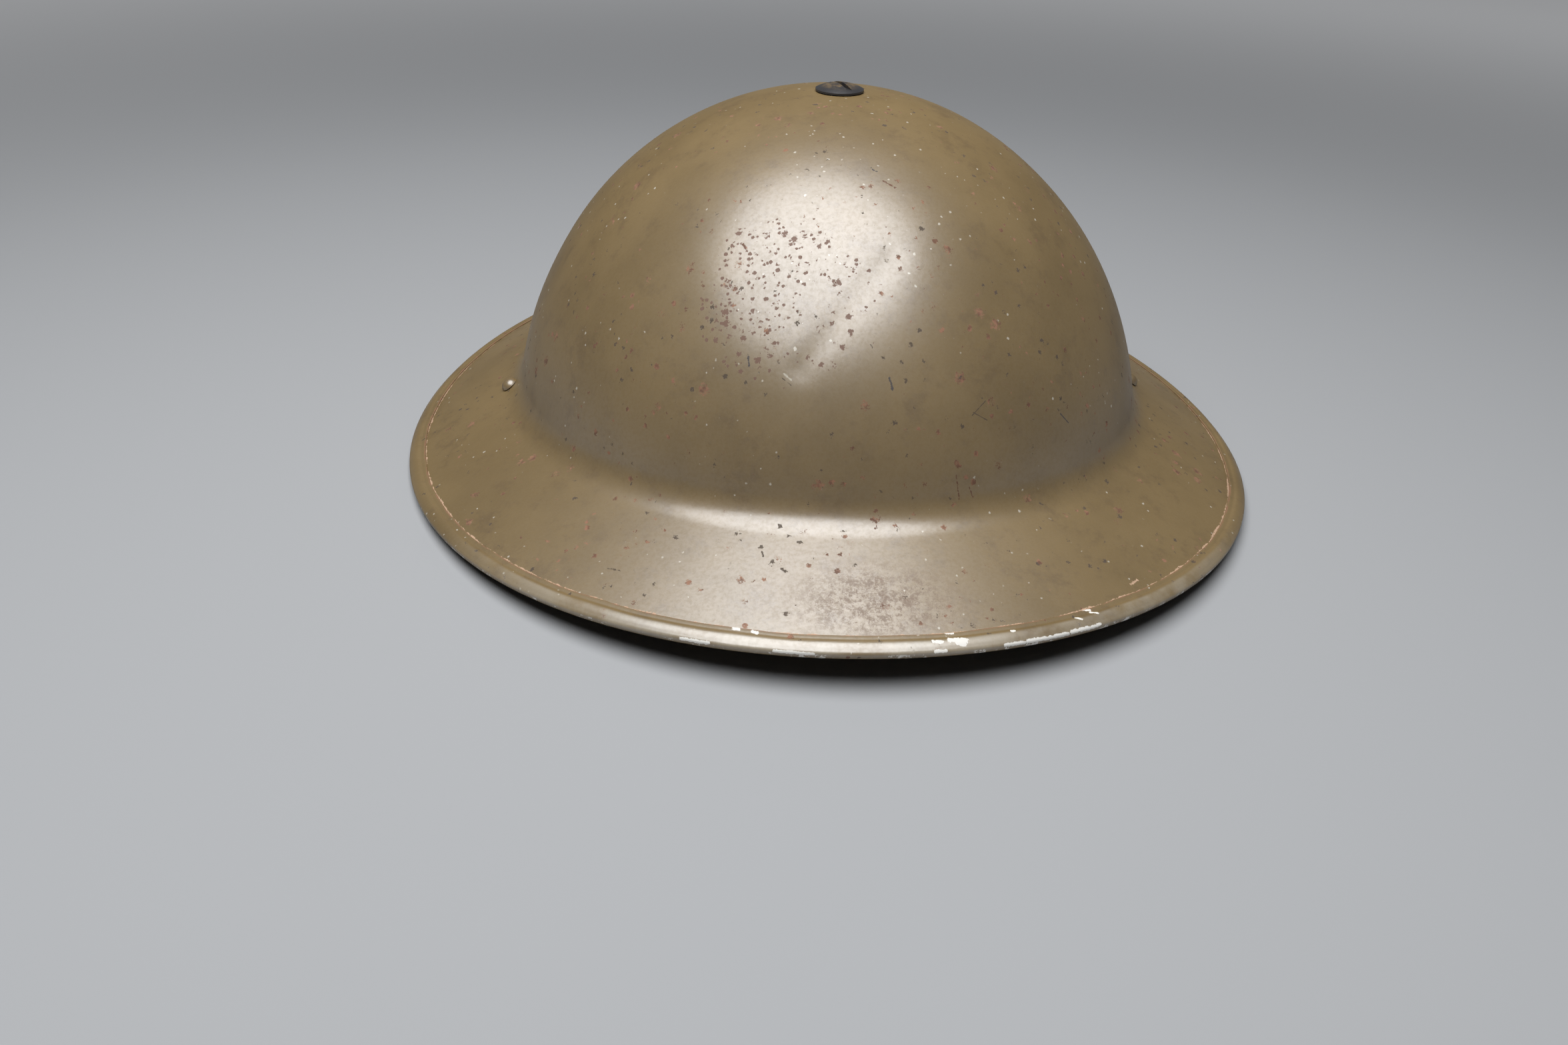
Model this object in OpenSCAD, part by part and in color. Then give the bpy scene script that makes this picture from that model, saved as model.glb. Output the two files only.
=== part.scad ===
// Steel helmet with a round bowl, a wide flared brim, a folded rim strip,
// a fibre liner held clear of the steel and a chin strap that swings on two lugs.
// It stands on its rim at z = 0 and faces -Y. Lengths are in millimetres.

/* [Shell] */
// Overall width across the rim strip
brim_w = 290; // [275:1:305]
// Overall length from front to back across the rim strip
brim_l = 312; // [300:1:325]
// Width of the bowl at its widest
bowl_w = 216; // [212:1:222]
// Length of the bowl at its longest
bowl_l = 236; // [232:1:242]
// Height of the steel at the crown above the floor
crown_h = 120.2; // [116:0.2:126]
// How far the bowl sits behind the middle of the brim
bowl_shift = 4; // [0:0.5:6]
// Height of the bowl's widest level, where its curve starts
bowl_foot = 5; // [3:0.5:7]
// Height of the bend between bowl and brim at the two sides
bend_side_h = 21.5; // [20.5:0.5:23]
// Height of that bend at the front and the back
bend_end_h = 26.5; // [25:0.5:29]
// Length of the rounded bend along the wall and along the brim
bend_leg = 6.5; // [5:0.5:8]
// How much higher the rim is at front and back than at the sides
rim_rise = 9.6; // [6:0.2:12]
// Thickness of the steel sheet
shell_t = 1; // [0.8:0.1:1.2]

/* [Rim strip] */
// Radius of the strip's rounded outer edge
bead_r = 1.7; // [1.5:0.1:2]
// Thickness of the strip
rim_t = 0.5; // [0.4:0.05:0.6]
// Width of the leg on top of the brim, up to the rounded edge
rim_leg_top = 4.7; // [4:0.1:6]
// Width of the leg under the brim
rim_leg_under = 4.2; // [3.5:0.1:5]
// Gap of the butt joint at the back
rim_joint = 0.6; // [0.4:0.1:1]

/* [Crown fittings] */
// Diameter of the crown screw's head
screw_head_d = 15.6; // [14:0.2:17]
// Height of the head's dome
screw_dome_h = 1.9; // [1.4:0.1:2.4]
// Height of the head's straight edge
screw_edge_h = 0.6; // [0.4:0.1:1]
// Diameter of the screw's shank
screw_d = 5; // [4:0.2:5.6]
// Width of the screwdriver slot
slot_w = 1.7; // [1.4:0.1:2]
// Depth of the slot
slot_depth = 1.3; // [1:0.1:1.5]
// Diameter of the leather spacer under the crown
spacer_d = 26; // [22:1:28]
// Thickness of the spacer
spacer_t = 3; // [2:0.25:4]
// Diameter of the steel washer under the straps
washer_d = 16; // [14:0.5:18]
// Thickness of the washer
washer_t = 1; // [0.8:0.1:1.2]
// Width of the nut across its flats
nut_flats = 8; // [7.5:0.25:9]
// Height of the nut
nut_h = 4; // [3:0.25:5]

/* [Liner] */
// Room between the fibre band and the bowl's widest level at the two sides
band_room_side = 17; // [16:0.5:19]
// The same room at the front and the back
band_room_end = 15; // [14:0.5:17]
// Height of the band's lower edge above the floor
band_z = 18; // [16:0.5:19]
// Height of the band
band_h = 28; // [26:0.5:30]
// Thickness of the band
band_t = 1.5; // [1.2:0.1:1.8]
// Width of the crossed fibre straps
cradle_w = 25; // [22:0.5:28]
// Thickness of the crossed straps
cradle_t = 1.2; // [1:0.1:1.4]
// Thickness of the padded headband at its fullest
pad_t = 8; // [6:0.5:9]
// How far the headband stands above the fibre band
pad_above = 3; // [1:0.5:5]
// Width of the crown pad across its lobes
crown_pad_w = 108; // [96:2:116]
// Thickness of the crown pad
crown_pad_t = 12; // [10:0.5:14]
// Width of a rubber buffer
buffer_w = 20; // [16:1:22]
// Height of a rubber buffer
buffer_h = 15; // [12:1:16]
// Diameter of the liner's rivets
liner_rivet_d = 2.6; // [2.2:0.2:3]

/* [Strap lugs] */
// Place of the lug rivet on the bend: 0 at the wall, 1 at the brim
rivet_place = 0.8; // [0.7:0.05:0.9]
// Diameter of the lug rivet's domed head
rivet_head_d = 6; // [5.5:0.25:6.5]
// Height of that head
rivet_head_h = 2.3; // [1.8:0.1:2.6]
// Diameter of the lug rivet's shank
rivet_d = 3.2; // [2.8:0.2:3.6]
// Thickness of the lug's plate
lug_t = 1.2; // [1:0.1:1.4]
// Width of the lug's foot
foot_w = 12; // [10:0.5:13]
// Width of the lug's ears
ear_w = 8; // [7.5:0.25:8.5]
// How far the strap ring stands inside the bowl's widest level
ring_inset = 8.6; // [8.2:0.2:9.2]
// Height of the strap ring's pin above the floor
pin_z = 14; // [13.8:0.2:14.6]
// Diameter of the pin
pin_d = 3; // [2.6:0.2:3.2]
// Clear width between the two ears
ear_gap = 6.4; // [5.6:0.2:7]

/* [Chin strap] */
// Diameter of the ring's wire
wire_d = 2.6; // [2.2:0.1:2.8]
// Distance from the pin to the ring's straight bar
ring_l = 19; // [17:0.5:21]
// Width of the webbing
web_w = 18; // [16:0.5:18]
// Thickness of the webbing
web_t = 1.7; // [1.4:0.1:1.9]
// How far the stowed strap's front stays inside the bowl's widest level
strap_inset = 10; // [9:0.5:14]
// Slope of the stowed strap, down to the surface that it lies on
strap_slope = 1.5; // [1:0.1:1.5]
// Place of the slide along the strap, as an angle from the right ring
slide_angle = 52; // [45:1:60]
// Length of the slide along the strap
slide_l = 14; // [12:0.5:16]
// Thickness of the slide's bars
slide_bar = 1.8; // [1.5:0.1:2]

/* [Hidden] */
$fn = 48;

// Clearances
fit_gap = 0.05;      // a shank in its hole, one plate on the next
rim_gap = 0.1;       // the rim strip on the sheet
seat_gap = 0.3;      // soft pieces on their seats
ring_gap = 0.4;      // the ring on its pin, over the whole swing

// Steps round the helmet and down the bowl
round_step = 5;
bowl_steps = 13;
bend_steps = 4;
brim_steps = 4;

olive = [0.42, 0.37, 0.25];
steel = [0.55, 0.55, 0.54];
blackened = [0.12, 0.12, 0.13];
fibre = [0.22, 0.12, 0.08];
oilcloth = [0.07, 0.07, 0.07];
rubber_black = [0.10, 0.10, 0.10];
leather = [0.35, 0.20, 0.10];
webbing = [0.52, 0.46, 0.30];
brass = [0.70, 0.55, 0.28];

function lerp(a, b, k) = a + (b - a) * k;
function unit(v) = v / norm(v);
function turned(list) = [for (i = [len(list) - 1 : -1 : 0]) list[i]];
function flatten(lists) = [for (l = lists, p = l) p];

// A point of the bowl's outside: turn round the helmet, then climb from 0 to 90
bowl_h = crown_h - bowl_foot;
function bowl_pt(turn, climb) = [
    bowl_w / 2 * cos(climb) * cos(turn),
    bowl_shift + bowl_l / 2 * cos(climb) * sin(turn),
    bowl_foot + bowl_h * sin(climb)];

// Height of the bend and of the middle of the rim's rounded edge, round the helmet
function wave(low, high, turn) = (low + high) / 2 - (high - low) / 2 * cos(2 * turn);
function bend_h(turn) = wave(bend_side_h, bend_end_h, turn);
function rim_mid(turn) = [
    (brim_w / 2 - bead_r) * cos(turn),
    (brim_l / 2 - bead_r) * sin(turn),
    bead_r + wave(0, rim_rise, turn)];

// The wall ends a bend length above the corner, and runs on straight to the corner
function wall_climb(turn) = asin((bend_h(turn) + bend_leg - bowl_foot) / bowl_h);
function wall_end(turn) = bowl_pt(turn, wall_climb(turn));
function corner(turn) =
    let (c = wall_climb(turn), k = bend_leg / (bowl_h * cos(c)))
    wall_end(turn) + k * [
        bowl_w / 2 * sin(c) * cos(turn),
        bowl_l / 2 * sin(c) * sin(turn),
        -bowl_h * cos(c)];

// The brim runs straight from the corner to the edge of the sheet
function upward(along) = unit([-along.x * along.z, -along.y * along.z,
    along.x * along.x + along.y * along.y]);
function brim_way(turn) = unit(rim_mid(turn) - corner(turn));
function sheet_edge(turn) = rim_mid(turn) + upward(brim_way(turn)) * shell_t / 2;
function brim_start(turn) = corner(turn)
    + unit(sheet_edge(turn) - corner(turn)) * bend_leg;

// The whole outside of the sheet: way 0 is the crown, 1 the wall's end,
// 2 the end of the bend and 3 the edge
function bend_pt(a, b, c, k) = (1 - k) * (1 - k) * a + 2 * k * (1 - k) * b + k * k * c;
function skin(turn, way) =
    way <= 1 ? bowl_pt(turn, lerp(90, wall_climb(turn), way))
    : way <= 2 ? bend_pt(wall_end(turn), corner(turn), brim_start(turn), way - 1)
    : lerp(brim_start(turn), sheet_edge(turn), way - 2);
function skin_normal(turn, way) =
    let (d = 0.01, down = skin(turn, min(way + d, 3)) - skin(turn, way - d),
        along = skin(turn + 1, way) - skin(turn - 1, way))
    unit(cross(down, along));
function inner_skin(turn, way) = skin(turn, way) - shell_t * skin_normal(turn, way);

// A closed skin through sections: each is a loop of points, one after the other
function loft_faces(rows, cols, closed) = [
    for (m = [0 : rows - (closed ? 1 : 2)], k = [0 : cols - 1])
        let (a = m * cols + k, b = (m + 1) % rows * cols + k,
            c = (m + 1) % rows * cols + (k + 1) % cols, d = m * cols + (k + 1) % cols)
        each [[a, b, c], [a, c, d]]];
module ring_loft(sections) {
    cols = len(sections[0]);
    polyhedron(flatten(sections), loft_faces(len(sections), cols, true));
}
module open_loft(sections) {
    rows = len(sections);
    cols = len(sections[0]);
    first = [for (k = [0 : cols - 1]) k];
    last = [for (k = [cols - 1 : -1 : 0]) (rows - 1) * cols + k];
    polyhedron(flatten(sections), concat(loft_faces(rows, cols, false), [first, last]));
}
// A closed skin through rings from a top point down to a bottom point
module ring_stack(top, rings, bottom) {
    cols = len(rings[0]);
    rows = len(rings);
    foot = rows * cols + 1;
    faces = concat(
        [for (k = [0 : cols - 1]) [0, 1 + (k + 1) % cols, 1 + k]],
        [for (m = [0 : rows - 2], k = [0 : cols - 1])
            let (a = 1 + m * cols + k, b = 1 + m * cols + (k + 1) % cols)
            each [[a, b, b + cols], [a, b + cols, a + cols]]],
        [for (k = [0 : cols - 1])
            [foot, foot - cols + k, foot - cols + (k + 1) % cols]]);
    polyhedron(concat([top], flatten(rings), [bottom]), faces);
}

// A flat path given a thickness to its left: its points, then the far side's
function path_normal(p, i) =
    let (a = p[max(i - 1, 0)], b = p[min(i + 1, len(p) - 1)], v = unit(b - a))
    [-v.y, v.x];
function side_path(p, d) = [for (i = [0 : len(p) - 1]) p[i] + d * path_normal(p, i)];
function thick_path(p, d0, d1) = concat(side_path(p, d0), turned(side_path(p, d1)));

module both_sides() {
    children();
    mirror([1, 0, 0]) children();
}
// Turns what is drawn along +X to point along a direction in the XZ plane
module along_xz(origin, way) {
    translate(origin) rotate([0, -atan2(way.z, way.x), 0]) rotate([0, 90, 0]) children();
}

// Place of the lug rivet: on the bend, where the bowl's wall is level with the pins
lug_turn = -asin(bowl_shift / (bowl_l / 2 * cos(wall_climb(0))));
rivet_pt = skin(lug_turn, 1 + rivet_place);
rivet_way = unit([skin_normal(lug_turn, 1 + rivet_place).x, 0,
    skin_normal(lug_turn, 1 + rivet_place).z]);
lug_y = rivet_pt.y;
rivet_hole_r = rivet_d / 2 + fit_gap;
screw_hole_r = screw_d / 2 + fit_gap;

// Shell: one pressed sheet
first_way = 0.01;
cutter_reach = 5;      // from the skin to each end of a rivet hole's cutter
ways = concat([first_way], [for (i = [1 : bowl_steps]) i / bowl_steps],
    [for (i = [1 : bend_steps]) 1 + i / bend_steps],
    [for (i = [1 : brim_steps]) 2 + i / brim_steps]);
module lug_hole() along_xz(rivet_pt - cutter_reach * rivet_way, rivet_way)
    cylinder(r = rivet_hole_r, h = 2 * cutter_reach);
module shell() color(olive) difference() {
    ring_loft([for (turn = [0 : round_step : 359])
        concat([for (way = ways) skin(turn, way)],
            [for (way = turned(ways)) inner_skin(turn, way)])]);
    translate([0, bowl_shift, 0]) cylinder(r = screw_hole_r, h = crown_h + cutter_reach);
    both_sides() lug_hole();
}

// Rim strip: folded over the sheet's edge, its ends meeting at the back
rim_mid_w = -shell_t / 2;
rim_in_r = bead_r - rim_t;
rim_outline = concat(
    [[-rim_leg_top, rim_gap + rim_t]],
    [for (a = [75 : -25 : -75]) [bead_r * cos(a), rim_mid_w + bead_r * sin(a)]],
    [[-rim_leg_under, -shell_t - rim_gap - rim_t], [-rim_leg_under, -shell_t - rim_gap]],
    [for (a = [-60 : 40 : 60]) [rim_in_r * cos(a), rim_mid_w + rim_in_r * sin(a)]],
    [[-rim_leg_top, rim_gap]]);
function rim_section(turn) =
    let (edge = sheet_edge(turn), up = skin_normal(turn, 3), way = edge - skin(turn, 2.9),
        out = unit(way - (way * up) * up))
    [for (p = rim_outline) edge + p.x * out + p.y * up];
joint_turn = asin(rim_joint / brim_w);
rim_turns = concat([90 + joint_turn], [for (q = [90 + round_step : round_step : 449]) q],
    [450 - joint_turn]);
module rim_band() color(olive) open_loft([for (turn = rim_turns) rim_section(turn)]);

// Heights down the crown fittings, from the inside of the steel
spacer_drop = (bowl_h - shell_t) * (1 - sqrt(1 - pow(spacer_d / (bowl_w - 2 * shell_t), 2)));
spacer_top = crown_h - shell_t - spacer_drop - seat_gap;
cradle_top = spacer_top - spacer_t - fit_gap;
long_top = cradle_top - cradle_t - fit_gap;
washer_top = long_top - cradle_t - fit_gap;
nut_top = washer_top - washer_t - fit_gap;
shank_end = nut_top - nut_h - 1;
dome_r = (pow(screw_head_d / 2, 2) + pow(screw_dome_h, 2)) / (2 * screw_dome_h);
slot_turn = 22;
module crown_screw() color(blackened) difference() {
    union() {
        translate([0, bowl_shift, shank_end])
            cylinder(d = screw_d, h = crown_h + screw_edge_h - shank_end);
        translate([0, bowl_shift, crown_h + fit_gap]) {
            cylinder(d = screw_head_d, h = screw_edge_h);
            translate([0, 0, screw_edge_h]) intersection() {
                cylinder(d = screw_head_d, h = screw_dome_h);
                translate([0, 0, screw_dome_h - dome_r]) sphere(r = dome_r);
            }
        }
    }
    head_top = crown_h + fit_gap + screw_edge_h + screw_dome_h;
    translate([0, bowl_shift, head_top - slot_depth]) rotate(slot_turn)
        translate([-slot_w / 2, -screw_head_d, 0])
        cube([slot_w, 2 * screw_head_d, 2 * slot_depth]);
}
module disc(top, d, t, hole_r) translate([0, bowl_shift, top - t]) difference() {
    cylinder(d = d, h = t);
    translate([0, 0, -1]) cylinder(r = hole_r, h = t + 2);
}
module crown_spacer() color(leather) disc(spacer_top, spacer_d, spacer_t, screw_hole_r);
module crown_washer() color(steel) disc(washer_top, washer_d, washer_t, screw_hole_r);
module crown_nut() color(steel) translate([0, bowl_shift, nut_top - nut_h]) difference() {
    cylinder(d = nut_flats / cos(30), h = nut_h, $fn = 6);
    translate([0, 0, -1]) cylinder(r = screw_hole_r, h = nut_h + 2);
}

// The fibre band's outside follows from the bowl and the room left to it
band_w = bowl_w - 2 * band_room_side;
band_l = bowl_l - 2 * band_room_end;

// Crossed fibre straps: flat under the crown, then an even way inside the bowl,
// and down the outside of the fibre band
band_top = band_z + band_h;
crossing_edge = 1.5;   // how far the flat crossing reaches past the other strap
cradle_flat = cradle_w / 2 + crossing_edge;
leg_edge = 1.5;        // from the band's lower edge to the strap's end
rivet_edge = 4.5;      // from the strap's end to its rivets
cradle_leg_end = band_z + leg_edge;
cradle_half_x = band_w / 2 + seat_gap;
cradle_half_y = band_l / 2 + seat_gap;
cradle_rivet_z = cradle_leg_end + rivet_edge;
cradle_rivet_y = cradle_w * 0.3;
liner_hole_r = liner_rivet_d / 2 + fit_gap;
arc_steps = 10;
module cradle_strap(half, top) {
    rise = top - cradle_t - bowl_foot;
    start = asin((band_top - bowl_foot) / rise);
    reach = cradle_flat + (half - cradle_flat) / cos(start);
    side = concat([[half, cradle_leg_end]],
        [for (i = [0 : arc_steps]) let (climb = lerp(start, 90, i / arc_steps))
            [cradle_flat + (reach - cradle_flat) * cos(climb), bowl_foot + rise * sin(climb)]]);
    whole = concat(side, [for (p = turned(side)) [-p.x, p.y]]);
    difference() {
        rotate([90, 0, 0]) linear_extrude(cradle_w, center = true)
            polygon(thick_path(whole, 0, -cradle_t));
        cylinder(r = screw_hole_r, h = crown_h);
        for (end = [-1, 1], y = [-1, 1])
            translate([0, y * cradle_rivet_y, cradle_rivet_z]) rotate([0, end * 90, 0])
            cylinder(r = liner_hole_r, h = half + 2 * cradle_t);
    }
}
module cradle_strap_side() color(fibre) translate([0, bowl_shift, 0])
    cradle_strap(cradle_half_x, cradle_top);
module cradle_strap_long() color(fibre) translate([0, bowl_shift, 0]) rotate(90)
    difference() {
        cradle_strap(cradle_half_y, long_top);
        translate([0, 0, buffer_mid]) rotate([0, 90, 0])
            cylinder(r = liner_hole_r, h = band_l + 4 * cradle_t, center = true);
    }

// A rivet along +X: its tail inside, its shank, and its head if it has one
liner_tail_t = 0.6;
liner_tail_r = 0.9 * liner_rivet_d;
liner_head_r = 1.1 * liner_rivet_d;
module tailed_rivet(inside, outside, head_t) {
    translate([inside - fit_gap, 0, 0]) rotate([0, -90, 0])
        cylinder(r = liner_tail_r, h = liner_tail_t);
    translate([inside - fit_gap - liner_tail_t / 2, 0, 0]) rotate([0, 90, 0])
        cylinder(d = liner_rivet_d, h = outside - inside + 2 * fit_gap + liner_tail_t);
    if (head_t > 0) translate([outside + fit_gap, 0, 0]) rotate([0, 90, 0])
        cylinder(r = liner_head_r, h = head_t);
}
// Where an oval wall stands at a distance aside of its axis
function oval_x(rx, ry, y) = rx * sqrt(1 - pow(y / ry, 2));
rivet_far_y = cradle_rivet_y + liner_tail_r;
liner_head_t = 0.8;
module cradle_rivets() color(brass) translate([0, bowl_shift, 0])
    for (turn = [0 : 90 : 270], y = [-1, 1])
        let (side = turn % 180 == 0, rx = side ? band_w / 2 : band_l / 2,
            ry = side ? band_l / 2 : band_w / 2,
            inside = oval_x(rx - band_t, ry - band_t, rivet_far_y))
        rotate(turn) translate([0, y * cradle_rivet_y, cradle_rivet_z])
            tailed_rivet(inside, rx + seat_gap + cradle_t, liner_head_t);

// Fibre band: an oval hoop
function oval(rx, ry) = [for (turn = [0 : round_step : 359]) [rx * cos(turn), ry * sin(turn)]];
function band_way(turn) = unit([cos(turn) / band_w, sin(turn) / band_l]);
function band_pt(turn, out) =
    [band_w / 2 * cos(turn), band_l / 2 * sin(turn)] + out * band_way(turn);
module at_band(turn, out) {
    p = band_pt(turn, out);
    translate([p.x, bowl_shift + p.y, 0])
        rotate(atan2(band_way(turn).y, band_way(turn).x)) children();
}
buffer_turns = [37, 143, 217, 323];
buffer_ends = [90, 270];
buffer_clear = 0.6;    // from the rivet heads below to a buffer
buffer_z = cradle_rivet_z + liner_head_r + buffer_clear;
buffer_mid = buffer_z + buffer_h / 2;
buffer_bevel = 1;
buffer_bite = 4;       // how deep a rivet reaches into its buffer
hole_end = 0.5;        // room past the rivet's end
module liner_band() color(fibre) difference() {
    translate([0, bowl_shift, band_z]) linear_extrude(band_h) difference() {
        polygon(oval(band_w / 2, band_l / 2));
        polygon(oval(band_w / 2 - band_t, band_l / 2 - band_t));
    }
    translate([0, bowl_shift, 0]) {
        for (turn = [0 : 90 : 270], y = [-1, 1])
            rotate(turn) translate([0, y * cradle_rivet_y, cradle_rivet_z])
            rotate([0, 90, 0]) cylinder(r = liner_hole_r, h = band_l);
    }
    for (turn = concat(buffer_turns, buffer_ends)) at_band(turn, -2 * band_t)
        translate([0, 0, buffer_mid]) rotate([0, 90, 0])
        cylinder(r = liner_hole_r, h = 4 * band_t);
}

// Rubber buffers: blocks that fill the way from the band to the inside of the bowl
function way_to_shell(p, way, z) =
    let (level = sqrt(1 - pow((z - bowl_foot) / (bowl_h - shell_t), 2)),
        a = (bowl_w / 2 - shell_t) * level, b = (bowl_l / 2 - shell_t) * level,
        u = [way.x / a, way.y / b], v = [p.x / a, p.y / b])
    (-u * v + sqrt(pow(u * v, 2) - (u * u) * (v * v - 1))) / (u * u);
function buffer_depth(turn, out, z) =
    let (way = band_way(turn), aside = [-way.y, way.x])
    min([for (y = [-1, 1])
        way_to_shell(band_pt(turn, out) + y * buffer_w / 2 * aside, way, z)]) - seat_gap;
module rubber_buffer(turn, out) at_band(turn, out) difference() {
    top = buffer_z + buffer_h;
    rotate([90, 0, 0]) linear_extrude(buffer_w, center = true) polygon([
        [0, buffer_z], [buffer_depth(turn, out, buffer_z) - buffer_bevel, buffer_z],
        [buffer_depth(turn, out, buffer_z + buffer_bevel), buffer_z + buffer_bevel],
        [buffer_depth(turn, out, top - buffer_bevel), top - buffer_bevel],
        [buffer_depth(turn, out, top) - buffer_bevel, top], [0, top]]);
    translate([-1, 0, buffer_mid]) rotate([0, 90, 0])
        cylinder(r = liner_hole_r, h = 1 + buffer_bite + hole_end);
}
over_strap = seat_gap + cradle_t + fit_gap;
module rubber_buffers() color(rubber_black) {
    for (turn = buffer_turns) rubber_buffer(turn, fit_gap);
    for (turn = buffer_ends) rubber_buffer(turn, over_strap);
}
module buffer_rivets() color(brass) {
    for (turn = buffer_turns) at_band(turn, 0) translate([0, 0, buffer_mid])
        tailed_rivet(-band_t - seat_gap / 2, buffer_bite, 0);
    for (turn = buffer_ends) at_band(turn, 0) translate([0, 0, buffer_mid])
        tailed_rivet(-band_t - seat_gap / 2, over_strap + buffer_bite, 0);
}

// Headband: a soft pad round the inside of the fibre band, crowned towards the head,
// with a hem that turns out under the band's lower edge
hem_t = 1.6;
hem_out = 0.2;
tail_room = liner_tail_t + 2 * seat_gap;
pad_low = band_z - seat_gap - hem_t;
pad_high = band_top + pad_above;
pad_mid = (pad_low + pad_high) / 2;
pad_edge_t = 2.5;
headband_outline = concat(
    [[hem_out, band_z - seat_gap], [hem_out, pad_low]],
    [for (a = [-90 : 22.5 : 90]) [-band_t - tail_room - pad_edge_t
        - (pad_t - pad_edge_t) * cos(a), pad_mid + (pad_high - pad_mid) * sin(a)]],
    [[-band_t - tail_room, pad_high - pad_edge_t / 2], [-band_t - tail_room, band_z - seat_gap]]);
function headband_section(turn) = [for (p = headband_outline)
    let (q = band_pt(turn, p.x)) [q.x, bowl_shift + q.y, p.y]];
module headband() color(oilcloth)
    ring_loft([for (turn = [0 : round_step : 359]) headband_section(turn)]);

// Crown pad: a cross-shaped cushion under the straps, with a pocket for the nut
pad_step = 7.5;
nut_room = 5;
pocket_share = 0.75;   // how far the pocket goes down, as a share of the thickness
edge_drop = 0.35;      // how far the top falls at the rim, as a share too
pocket_r = nut_flats / 2 + nut_room;
pad_top = long_top - cradle_t - seat_gap;
lobe_depth = 0.2;
function pad_reach(turn) = crown_pad_w / 2 * (1 - lobe_depth * pow(sin(2 * turn), 2));
function strap_drop(half, top, r) =
    let (rise = top - cradle_t - bowl_foot,
        reach = (half - cradle_flat) / cos(asin((band_top - bowl_foot) / rise)))
    rise * (1 - sqrt(1 - pow(max(r - cradle_flat, 0) / reach, 2)));
function pad_ceiling(turn, r) = pad_top - seat_gap - r * r / pow(crown_pad_w / 2, 2)
    * lerp(strap_drop(cradle_half_x, cradle_top, crown_pad_w / 2),
        strap_drop(cradle_half_y, long_top, crown_pad_w / 2), pow(sin(turn), 2));
function pad_pt(turn, share, under) =
    let (r = lerp(under ? 0 : pocket_r, pad_reach(turn), share),
        puff = crown_pad_t * sqrt(1 - pow(r / pad_reach(turn), 4)))
    [r * cos(turn), bowl_shift + r * sin(turn),
        pad_ceiling(turn, r) - crown_pad_t * edge_drop * pow(r / pad_reach(turn), 6)
            - (under ? puff : 0)];
pocket_floor = pad_top - crown_pad_t * pocket_share;
pad_turns = [for (turn = [0 : pad_step : 359]) turn];
module crown_pad() color(oilcloth) ring_stack([0, bowl_shift, pocket_floor],
    concat([[for (turn = pad_turns) [pocket_r * cos(turn), bowl_shift
            + pocket_r * sin(turn), pocket_floor]]],
        [for (share = [0, 0.35, 0.65, 0.85, 0.97])
            [for (turn = pad_turns) pad_pt(turn, share, false)]],
        [for (share = [0.97, 0.85, 0.65, 0.4, 0.2])
            [for (turn = pad_turns) pad_pt(turn, share, true)]]),
    [0, bowl_shift, pad_ceiling(0, 0) - crown_pad_t]);

// Places of the rings and of the strap's front, from the bowl
ring_x = bowl_w / 2 - ring_inset;
strap_reach = bowl_l / 2 - strap_inset;

// Ring of round wire: a small arc round the pin, two legs and a straight bar,
// drawn in the XY plane with the bar towards -X
wire_r = wire_d / 2;
eye_r = pin_d / 2 + ring_gap + wire_r;
ring_corner_r = 2;
bar_clear = 0.2;
bar_half = web_w / 2 + bar_clear;
corner_mid = [-(ring_l - ring_corner_r), bar_half];
leg_way = atan2(corner_mid.y, corner_mid.x) - acos((eye_r - ring_corner_r) / norm(corner_mid));
leg_dir = [cos(leg_way), sin(leg_way)];
joint_r = wire_r + 0.03;   // ball that joins two lengths of wire
joint_room = 0.05;         // each length stops this far short of the ball's middle
module wire_arc(r, start, sweep) {
    short = joint_room / r * 180 / PI;
    rotate(start + short) rotate_extrude(angle = sweep - 2 * short)
        translate([r, 0]) circle(r = wire_r);
}
module wire_run(a, b) translate(a) rotate([0, 90, atan2(b.y - a.y, b.x - a.x)])
    translate([0, 0, joint_room]) cylinder(r = wire_r, h = norm(b - a) - 2 * joint_room);
function flip(p) = [p.x, -p.y];
leg_a = eye_r * leg_dir;
leg_b = corner_mid + ring_corner_r * leg_dir;
bar_end = [-ring_l, bar_half];
// A ball on each half of the ring, turned so that its seam stays off the wire
module joint_balls(p, way) {
    translate(p) rotate(way) sphere(r = joint_r);
    translate(flip(p)) rotate(-way) sphere(r = joint_r);
}
module ring_shape() {
    wire_arc(eye_r, -leg_way, 2 * leg_way);
    wire_run(leg_a, leg_b);
    wire_run(flip(leg_a), flip(leg_b));
    translate(corner_mid) wire_arc(ring_corner_r, leg_way, 180 - leg_way);
    translate(flip(corner_mid)) wire_arc(ring_corner_r, 180, 180 - leg_way);
    wire_run(bar_end, flip(bar_end));
    joint_balls(leg_a, leg_way);
    joint_balls(leg_b, leg_way);
    joint_balls(bar_end, 180);
}

// The stowed strap turns about its pins; everything on it is drawn from the pins' line
module on_strap() translate([0, lug_y, pin_z]) rotate([strap_slope, 0, 0]) children();
module strap_ring() on_strap() translate([ring_x, 0, 0]) rotate([90, 0, 90]) ring_shape();
module strap_ring_left() color(steel) strap_ring();
module strap_ring_right() color(steel) mirror([1, 0, 0]) strap_ring();

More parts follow.
